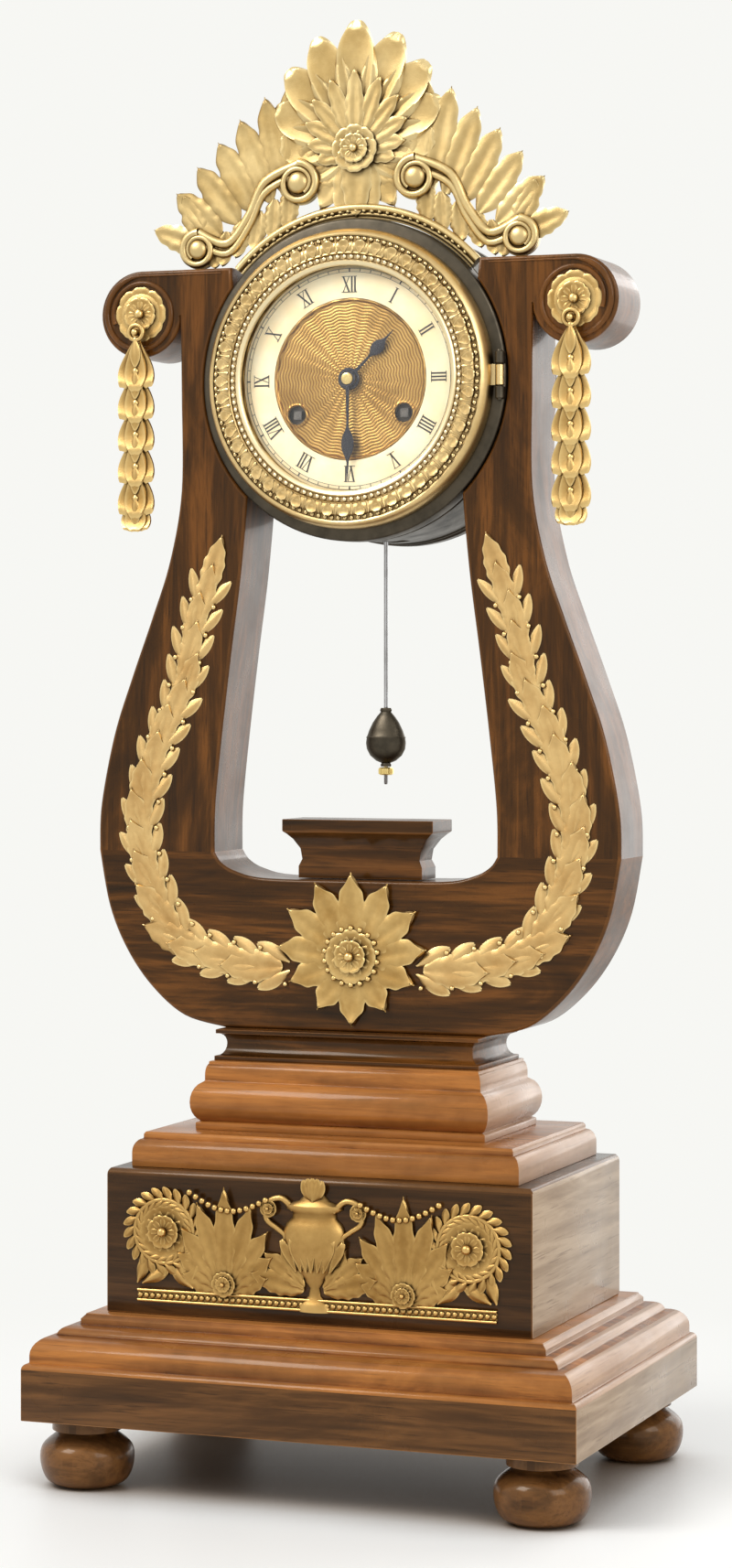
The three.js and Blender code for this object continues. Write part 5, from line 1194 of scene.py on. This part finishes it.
crest = {
    "foot": 90, "reach": 45.4, "lobeWidth": 15.5, "spread": 108, "lobes": 11, "depth": 8, "thick": 2.2,
    "scroll": (24, 77, 9), "end": (66, 52.8, 8),
    "band": (42, 138), "bandInner": 62.3, "bandOuter": 67.4, "pearls": 31, "pearlsAt": 65.1,
}
back = boxOf("crest")[1].y
front = back - crest["thick"]
first, last = crest["band"]
cast = []
for ringRadius, thickness, level in ((66.4, 1.5, front - 1.2), (63.9, 1.0, front - 0.6)):
    cast.append(stem("bandRing", arc(0, dialCentre.z, ringRadius, first, last, 40), thickness, level))
bandOutline = arc(0, dialCentre.z, crest["bandOuter"], first, last, 40)
bandOutline += arc(0, dialCentre.z, crest["bandInner"], last, first, 40)
cast.append(plate("bandGround", bandOutline, front - 0.9, back))
for i in range(crest["pearls"]):
    lean = math.radians(47 + 86 * i / (crest["pearls"] - 1))
    cast.append(pearl(crest["pearlsAt"] * math.cos(lean), dialCentre.z + crest["pearlsAt"] * math.sin(lean),
                      front - 1.7, 0.85))
lobes, foot = crest["lobes"], dialCentre.z + crest["foot"]
for i in sorted(range(lobes), key=lambda i: -abs(i - lobes // 2)):
    lean = crest["spread"] * (2 * i / (lobes - 1) - 1)
    share = 1 - 0.42 * (abs(lean) / crest["spread"]) ** 1.3
    lift = 0.3 * (lobes // 2 - abs(i - lobes // 2))
    cast.append(lay("lobe", crest["reach"] * share, crest["lobeWidth"], lean, 0, foot, front - lift,
                    crest["depth"]))
    cast.append(lay("castLeaf", crest["reach"] * share * 0.62, 9, lean, 0, foot, front - 1.4 - lift,
                    crest["depth"] * 0.7))
cast.append(rosette("heart", 8.4, 0, foot - 1, front - 3.4, 2.2))
for lean, width, lift in ((150, 15, 0), (-150, 15, 0), (167, 14, 0.5), (-167, 14, 0.5), (180, 15, 1)):
    cast.append(lay("castLeaf", 29, width, lean, 0, foot + 3, front - lift, crest["depth"]))
scrollX, scrollZ, scrollR = crest["scroll"]
endX, endZ, endR = crest["end"]
# each leaf on a branch: share of the way out, length, width, lean
sprays = [(0.02, 38, 15, 4), (0.14, 36, 15, 13), (0.28, 33, 15, 22), (0.43, 30, 15, 30), (0.6, 27, 14, 38),
          (0.78, 24, 14, 48), (0.96, 21, 12, 70), (0.94, 21, 12, 24), (0.0, 26, 15, -42), (0.0, 20, 13, -80),
          (0.1, 15, 10, 178), (0.24, 15, 10, 176), (0.4, 15, 10, 172), (0.56, 14, 10, 168),
          (0.72, 13, 9, 172), (0.88, 10, 9, -170)]
half = []
for way, length, width, lean in sprays:
    half.append(lay("castLeaf", length, width, lean, scrollX + way * (endX - scrollX),
                    dialCentre.z + scrollZ + way * (endZ - scrollZ), front, crest["depth"]))
branch = [(scrollX, scrollZ + scrollR - 1.6), (scrollX + 14, scrollZ + 1),
          ((scrollX + endX) / 2, (scrollZ + endZ) / 2), (endX - 12, endZ + 2), (endX, endZ + endR - 1.4)]
for shift, thickness in ((0, 1.9), (-4, 1.6)):
    line = flowing([(x, dialCentre.z + z + shift) for x, z in branch], 6)
    half.append(stem("branch", line, thickness, front - 0.6))
for x, z, r, towards in ((scrollX, scrollZ, scrollR, 1), (endX, endZ, endR, -1)):
    coil = spiral(0, 0, r - 1.2, r * 0.5, 90, 1.4, 60)
    half.append(stem("coil", [(x + towards * -px, dialCentre.z + z + pz) for px, pz in coil],
                     lambda s: 1.7 - 0.7 * s, front - 1.6))
    half.append(spun("eyeDisc", [
        (0, back), (r - 0.6, back), (r - 0.4, front - 0.4), (r * 0.5, front - 1), (r * 0.46, front - 2.6),
        (r * 0.3, front - 3.6), (0, front - 4)], (x, 0, dialCentre.z + z), steps=40))
half = joined("halfCrest", half)
cast += [half, mirroredCopy(half)]
dress(joined("openworkCrest", cast), giltCrest, ["crest"], angle=60)
print("crest made")


# Drum with the arms of its two hinges

drum = {"radius": 62, "wall": 2.2, "mouth": 50, "flange": 2, "front": -16, "back": 48, "steps": 128,
        "knuckle": 1.7, "pin": 0.75, "slot": (9, 16.5, 25.5), "knuckleEnds": (4.3, 9), "tabHalf": 4}
hinges = {"bezel": (60.5, -18.6), "cover": (-64.6, 50.4)}
radius, inner, mouth = drum["radius"], drum["radius"] - drum["wall"], drum["mouth"]
first, last = drum["front"], drum["back"]
z = dialCentre.z
# the sheet from its mouth to its back, with a raised bead near each end, as [in from the radius, level]
outside = [(1.2, first), (0.4, first + 0.3), (0, first + 1), (0, first + 8.6), (0.8, first + 9.4),
           (0.8, first + 11), (0.3, first + 11.4), (0.15, first + 12), (0.3, first + 12.6), (0.8, first + 13),
           (0.8, last - 11.4), (0.3, last - 11), (0.15, last - 10.5), (0.3, last - 10), (0.8, last - 9.6),
           (0.8, last - 6.8), (0, last - 6), (0, last - 0.8), (0.6, last)]
shell = spun("drumShell", [
    (mouth, first), *[(radius - sunk, level) for sunk, level in outside], (inner, last),
    (inner, first + drum["flange"]), (mouth, first + drum["flange"]), (mouth, first)],
    (0, 0, z), steps=drum["steps"])
settle(shell)


def block(x0, x1, y0, y1, z0, z1, edge=0.25):
    bpy.ops.object.select_all(action="DESELECT")
    bpy.ops.mesh.primitive_cube_add(size=1, location=((x0 + x1) / 2, (y0 + y1) / 2, (z0 + z1) / 2),
                                    scale=(x1 - x0, y1 - y0, z1 - z0))
    piece = settle(added())
    if edge:
        modify(piece, "BEVEL", width=edge, segments=2)
    return piece


slotHalf, slotFront, slotBack = drum["slot"]
cut(shell, block(-slotHalf, slotHalf, slotFront, slotBack, z - radius - 3, z - radius + 9, 1.5))


def knuckle(x, y, low, high):  # a hinge barrel with rounded ends, about a vertical pin
    r, bore = drum["knuckle"], drum["pin"] + 0.2
    return spun("knuckle", [
        (bore, z + low), (r - 0.3, z + low), (r, z + low + 0.3), (r, z + high - 0.3), (r - 0.3, z + high),
        (bore, z + high), (bore, z + low)], (x, y, 0), "Z", 28)


parts = [shell]
for name, (x, y) in hinges.items():
    for side in (-1, 1):
        low, high = sorted(side * end for end in drum["knuckleEnds"])
        parts.append(knuckle(x, y, low, high))
        if name == "bezel":
            parts.append(block(x - 1.2, x + 1.2, y, first + 1, z + low, z + high))
        else:
            parts.append(block(x, -radius + 1.1, last - 1.7, y, z + low, z + high))
    pinEnd = [(drum["pin"], 8.7), (1.1, 9), (0.9, 9.5), (0, 9.7)]
    pinLine = [(r, z - up) for r, up in pinEnd[::-1]] + [(r, z + up) for r, up in pinEnd]
    parts.append(spun("hingePin", pinLine, (x, y, 0), "Z", 20))
dress(joined("clockDrum", parts), bronze, ["drum"], angle=40)

# Rear cover: a dished round door with a turned knob

cover = {"radius": 60.35, "knobOut": 57}
rim, y = cover["radius"], boxOf("rear_cover")[0].y
# from the rim inwards, as [in from the rim, out from the sheet's face]
dish = [(12, 2), (6, 0), (0.3, 0), (0, 0.3), (0, 1.6), (0.4, 2), (1.2, 2), (1.6, 1.7), (2.1, 2), (6, 2),
        (10, 3.3), (12, 3.9), (13.5, 4), (13.9, 3.7), (14.3, 4)]
doorProfile = [(0, y + 2), *[(rim - sunk, y + out) for sunk, out in dish],
               (26, y + 4), (25.6, y + 3.7), (25.2, y + 4), (0, y + 4)]
door = spun("door", doorProfile, (0, 0, z), steps=128)
knobLine = [(0, 1), (1.9, 1), (2.2, 2.2), (1.3, 3), (1.2, 4), (2.2, 5), (3, 6.2), (2.9, 7.2),
            (1.8, 7.9), (0, 8)]
knob = spun("knob", [(r, y + out) for r, out in knobLine], (cover["knobOut"], 0, z), steps=36)
x, hingeY = hinges["cover"]
tab = drum["tabHalf"]
leaf = block(x + 1.2, -rim + 6, y + 0.3, y + 2.5, z - tab, z + tab)
dress(joined("rearDoor", [door, knob, knuckle(x, hingeY, -tab, tab), leaf]), brass, ["rear_cover"],
      "cover_door", angle=35)
print("drum and rear door made")


# Bezel: a broad gilt ring with a leaf-and-dart border between two rows of beads

bezelLow, bezelHigh = boxOf("bezel")
bezel = {"radius": 57.5, "aperture": 43, "lip": 46.9, "leaves": 48, "leafAt": 4.9, "innerBeads": 104,
         "outerBeads": 124, "wallIn": 4.5, "deep": 3}
rim, hole, y0, y1 = bezel["radius"], bezel["aperture"], bezelLow.y, bezelHigh.y
# the face from the glass outwards, as [out from the aperture, behind the front]
mouldings = [(0, 3.4), (0, 2), (0.5, 1.4), (1.6, 1.1), (2.3, 1.6), (2.5, 2.2), (4.1, 2.2), (4.3, 1.5),
             (4.7, 1.1), (5.2, 1.3), (6, 1.0), (7, 0.8), (8.4, 1.1), (9.2, 1.7), (9.4, 2.3), (11.2, 2.5),
             (11.4, 1.9), (12, 1.6)]
bezelProfile = [(hole + out, y0 + behind) for out, behind in mouldings]
bezelProfile += [(rim - sunk, y0 + behind) for sunk, behind in ((1.8, 2), (0.9, 3.2), (0.3, 4.6), (0, 6.4))]
bezelProfile += [(rim, y1), (rim - bezel["wallIn"], y1), (rim - bezel["wallIn"], y1 - bezel["deep"]),
                 (hole + 2.3, y1 - bezel["deep"]), (hole + 2.3, y0 + 3.4), (hole, y0 + 3.4)]
parts = [spun("bezelRing", bezelProfile, (0, 0, z), steps=144)]
beadRows = ((bezel["innerBeads"], hole + 3.3, 0.95, y0 + 1.9),
            (bezel["outerBeads"], hole + 10.3, 1.0, y0 + 2.3))
for count, out, r, level in beadRows:
    for i in range(count):
        lean = 2 * math.pi * i / count
        parts.append(pearl(out * math.sin(lean), z + out * math.cos(lean), level, r))
out = hole + bezel["leafAt"]
for i in range(bezel["leaves"]):
    lean = 360 * i / bezel["leaves"]
    turned = math.radians(lean)
    parts.append(lay("petal", 4.5, 4.4, lean, out * math.sin(turned), z + out * math.cos(turned),
                     y0 + 1.0, 2))
    turned += math.pi / bezel["leaves"]
    parts.append(lay("dart", 4.2, 1.4, lean + 180 / bezel["leaves"], out * math.sin(turned),
                     z + out * math.cos(turned), y0 + 0.9, 2.2))
x, hingeY = hinges["bezel"]
tabEnd = x - drum["pin"] - 0.5
parts.append(block(rim - 3, tabEnd, hingeY - 1.3, hingeY + 1.3, z - tab, z + tab))
parts.append(knuckle(x, hingeY, -tab, tab))
door = dress(joined("dialBezel", parts), giltBezel, ["bezel"], "bezel_door", angle=40)


def onLip(side):
    return math.hypot(side.center.x, side.center.z - z * mm) < bezel["lip"] * mm


refinish(door, giltPolished, onLip)  # the lip round the dial is burnished bright

glassLow, glassHigh = boxOf("bezel_glass")
pane = {"steps": 16, "dome": 3.4, "thick": 1.2}
edge, steps = glassHigh.x, pane["steps"]
outerCurve = [(edge * i / steps, glassLow.y + pane["dome"] * (i / steps) ** 2) for i in range(steps + 1)]
innerCurve = [(r, y + pane["thick"]) for r, y in outerCurve[::-1]]
dress(spun("domedGlass", outerCurve + innerCurve, (0, 0, z), steps=128), glass, ["bezel_glass"],
      "bezel_door", angle=40)
print("bezel made")


# Dial: engine-turned gilt centre, enamel ring with plain numerals, two hands

dialLow, dialHigh = boxOf("dial_plate")
ringLow, ringHigh = boxOf("chapter_ring")
inside, outside = 31, ringHigh.x  # the enamel ring's edges
dial = {"hole": 3.6, "across": 21.8, "drop": 13.3, "centre": 3.5, "thick": 1.2, "footOut": 40, "foot": 1.6,
        "feet": (90, 205, 335)}
faceY, backY = dialLow.y, dialLow.y + dial["thick"]
centre = dial["centre"]
# a raised fillet on each side of the enamel ring, as [out from the ring's edge, in front of the face]
innerFillet = [(-1.4, 0), (-1.1, 0.6), (-0.6, 0.9), (-0.15, 0.6), (-0.1, 0)]
outerFillet = [(0.1, 0), (0.2, 0.7), (0.7, 0.8), (1.2, 0.3), (1.4, 0)]
dialPlate = spun("dialPlate", [
    (centre, backY), (centre, faceY), *[(inside + out, faceY - proud) for out, proud in innerFillet],
    *[(outside + out, faceY - proud) for out, proud in outerFillet],
    (dialHigh.x, faceY), (dialHigh.x, backY), (centre, backY)], (0, 0, z), steps=128)
settle(dialPlate)
rings = []
r = dial["hole"]
collar = [(r, faceY + 0.4), (r, faceY - 0.5), (r + 0.4, faceY - 0.9), (r + 1, faceY - 0.6),
          (r + 1.1, faceY + 0.1), (r, faceY + 0.4)]
for side in (-1, 1):
    across, up = side * dial["across"], z - dial["drop"]
    bored(dialPlate, r, (across, faceY, up), 9, 48)
    only(dialPlate)
    pick(lambda co: True)
    bpy.ops.mesh.fill_holes(sides=6)
    bpy.ops.object.mode_set(mode="OBJECT")
    rings.append(spun("windingCollar", collar, (across, 0, up), steps=40))
foot = [(0, faceY + 0.6), (dial["foot"], faceY + 0.6), (dial["foot"], dialHigh.y), (0, dialHigh.y)]
for degrees in dial["feet"]:
    turned = math.radians(degrees)
    place = (dial["footOut"] * math.cos(turned), 0, z + dial["footOut"] * math.sin(turned))
    rings.append(spun("dialFoot", foot, place, steps=20))
dress(joined("engineTurnedDial", [dialPlate, *rings]), giltDial, ["dial_plate"], angle=35)

chapter = {"inner": inside + 0.05, "outer": outside - 0.05, "numeralAt": 36.2, "high": 6, "trackAt": 41.6,
           "dome": 0.45, "domeSteps": 10}
enamelInner, enamelOuter = chapter["inner"], chapter["outer"]
shoulder = ringLow.y + chapter["dome"]
enamelProfile = [(enamelInner, ringHigh.y), (enamelInner, shoulder)]
for i in range(1, chapter["domeSteps"]):
    share = i / chapter["domeSteps"]
    enamelProfile.append((enamelInner + (enamelOuter - enamelInner) * share,
                          ringLow.y + chapter["dome"] * abs(2 * share - 1) ** 3))
enamelProfile += [(enamelOuter, shoulder), (enamelOuter, ringHigh.y), (enamelInner, ringHigh.y)]
dress(spun("enamelRing", enamelProfile, (0, 0, z), steps=144), enamel, ["chapter_ring"], angle=35)


def bar(width, height, x, up, lean):  # one stroke of a numeral, before it is carried round the ring
    bpy.ops.object.select_all(action="DESELECT")
    bpy.ops.mesh.primitive_cube_add(size=1, location=(x, 0, up), scale=(width, 0.24, height),
                                    rotation=(0, math.radians(lean), 0))
    return settle(added())


def numeral(letters):
    high, pieces = chapter["high"], []
    broad, fine = 0.62, 0.26
    widths = {"I": 1.3, "V": 2.9, "X": 3.3}
    whole = sum(widths[letter] for letter in letters)
    x = -whole / 2
    for letter in letters:
        middle = x + widths[letter] / 2
        if letter == "I":
            pieces.append(bar(broad, high, middle, 0, 0))
        if letter == "V":
            pieces.append(bar(broad, high * 1.02, middle - 0.55, 0, -12))
            pieces.append(bar(fine, high * 1.02, middle + 0.55, 0, 12))
        if letter == "X":
            pieces.append(bar(broad, high * 1.08, middle, 0, -22))
            pieces.append(bar(fine, high * 1.08, middle, 0, 22))
        x += widths[letter]
    for up in (-high / 2, high / 2):
        pieces.append(bar(whole + 0.3, 0.2, 0, up, 0))
    return joined("numeral", pieces)


def onRing(mark, out, level, lean):  # carries a mark out from the dial's centre and turns it by lean
    mark.location = (out * math.sin(lean), level, z + out * math.cos(lean))
    mark.rotation_euler = (0, lean, 0)
    return settle(mark)


numerals = ["XII", "I", "II", "III", "IIII", "V", "VI", "VII", "VIII", "IX", "X", "XI"]
marks = []
for hour, letters in enumerate(numerals):
    marks.append(onRing(numeral(letters), chapter["numeralAt"], ringLow.y, math.radians(30 * hour)))
for minute in range(60):
    width, length = (0.5, 1.5) if minute % 5 == 0 else (0.2, 1.0)
    tick = bar(width, length, 0, 0, 0)
    marks.append(onRing(tick, chapter["trackAt"], ringLow.y + 0.12, math.radians(6 * minute)))
for r in (chapter["trackAt"] - 0.7, chapter["trackAt"] + 0.6):
    behind, face = ringLow.y + 0.3, ringLow.y
    line = [(r, behind), (r, face), (r + 0.14, face), (r + 0.14, behind), (r, behind)]
    marks.append(spun("track", line, (0, 0, z), steps=120))
dress(joined("numeralsAndTrack", marks), ink)

# each hand's node, body, length, angle from XII, bore and hub
hands = {
    "hourHand": ("hour_hand", "hour", 26, 45, 3.15, 4.3),
    "minuteHand": ("minute_hand", "centre", 39, 180, 1.95, 3.2),
}
bladeShares = [(0.17, 0.06), (0.13, 0.3), (0.1, 0.44), (0.2, 0.5), (0.46, 0.56), (0.56, 0.63), (0.5, 0.7),
               (0.26, 0.76), (0.1, 0.82), (0.06, 0.92)]
bladeWide = 4.4
for name, (nodeName, body, length, degrees, bore, hub) in hands.items():
    low, high = boxOf(nodeName)
    right = flowing([(s * bladeWide, up * length) for s, up in bladeShares] + [(0, length)], 4)
    outline = right + [(-x, up) for x, up in right[-2::-1]]
    piece = plate(name, outline, low.y + 0.1, high.y - 0.05, 0.12)
    disc = spun("hub", [(bore, high.y), (bore, low.y), (hub - 0.25, low.y), (hub, low.y + 0.25),
                        (hub, high.y), (bore, high.y)], steps=40)
    piece = joined(name, [piece, disc])
    piece.rotation_euler, piece.location = (0, math.radians(degrees), 0), (0, 0, z)
    settle(piece)
    dress(piece, blued, [nodeName], body, angle=40)
low, high = boxOf("hand_nut")
r = high.x
nut = spun("handNut", [(0.8, low.y), (r - 0.7, low.y), (r - 0.15, low.y + 0.2), (r, low.y + 0.45),
                       (r, high.y), (0.8, high.y), (0.8, low.y)], (0, 0, z), steps=32)
dress(nut, brass, ["hand_nut"], "centre")
print("dial and hands made")


# Pendulum: spring, rod, flattened bob and rating nut

rodLow, rodHigh = boxOf("pendulum_rod")
bobLow, bobHigh = boxOf("pendulum_bob")
deep = (rodLow.y + rodHigh.y) / 2
pendulum = {"rod": 0.8, "tip": 0.5, "ferrule": 1.25, "springHigh": 7.5, "ridges": 20, "ridgeHalf": 0.2}
top = rodHigh.z - pendulum["springHigh"]
rodLine = [(0, rodLow.z), (pendulum["tip"], rodLow.z), (pendulum["rod"], rodLow.z + 0.5),
           (pendulum["rod"], top - 4.6), (pendulum["ferrule"], top - 4.4), (pendulum["ferrule"], top - 3.6),
           (pendulum["rod"], top - 3.2), (pendulum["rod"], top - 1.5), (0, top - 1.5)]
rod = spun("rod", rodLine, (0, deep, 0), "Z", 24)
spring = block(-0.14, 0.14, deep - 1.9, deep + 1.9, top - 1.7, rodHigh.z, 0.05)
chop = block(-2, 2, deep - 2, deep + 2, top - 3.5, top, 0.4)
dress(joined("pendulumRod", [rod, spring, chop]), steel, ["pendulum_rod"], "pendulum")
wide, tall = bobHigh.x, bobHigh.z - bobLow.z
bobShares = [(0.13, 0), (0.25, 0), (0.27, 0.03), (0.22, 0.06), (0.5, 0.1), (0.8, 0.19), (0.96, 0.3), (1, 0.4),
             (0.97, 0.48), (0.99, 0.5), (0.94, 0.52), (0.84, 0.62), (0.66, 0.75), (0.44, 0.86), (0.26, 0.93),
             (0.3, 0.96), (0.25, 1), (0.13, 1), (0.13, 0)]
bob = spun("bob", [(s * wide, (up - 0.5) * tall) for s, up in bobShares], axis="Z", steps=56)
flatness = (bobHigh.y - bobLow.y) / (bobHigh.x - bobLow.x)
bob.location, bob.scale = (0, deep, (bobLow.z + bobHigh.z) / 2), (1, flatness, 1)
dress(joined("pendulumBob", [bob]), bronze, ["pendulum_bob"], "pendulum", angle=40)
low, high = boxOf("rating_nut")
r = high.y - deep
nut = [spun("nut", [(0.9, low.z), (r - 0.7, low.z), (r - 0.25, low.z + 0.4), (r - 0.25, high.z - 0.4),
                    (r - 0.7, high.z), (0.9, high.z), (0.9, low.z)], (0, deep, 0), "Z", 40)]
ridgeHalf = pendulum["ridgeHalf"]
for i in range(pendulum["ridges"]):
    lean = 2 * math.pi * i / pendulum["ridges"]
    ridge = block(-ridgeHalf, ridgeHalf, -ridgeHalf, ridgeHalf, low.z + 0.5, high.z - 0.5, 0)
    ridge.location = ((r - 0.3) * math.cos(lean), deep + (r - 0.3) * math.sin(lean), 0)
    nut.append(ridge)
dress(joined("ratingNut", nut), brass, ["rating_nut"], "pendulum")
print("pendulum made")


# The movement behind the dial keeps its solids; each gets the finish of its slot

finishes = {"brass": brass, "steel": steel, "blued": blued, "gilt": gilt, "bronze": bronze, "wood": woodLying,
            "enamel": enamel, "glass": glass}
for piece in bpy.data.objects:
    for slot in piece.material_slots:
        if slot.material.name in finishes:
            # painted shade: the winding arbors get the dark steel, as the shade in the dial's holes
            dim = piece.name.endswith("winding_arbor")  # their squares stand in the dial's dark holes
            slot.material = holeShadeSteel if dim else finishes[slot.material.name]
print("movement finished")


# The units were copied wherever they are laid, so they go now

remove(*units.values())
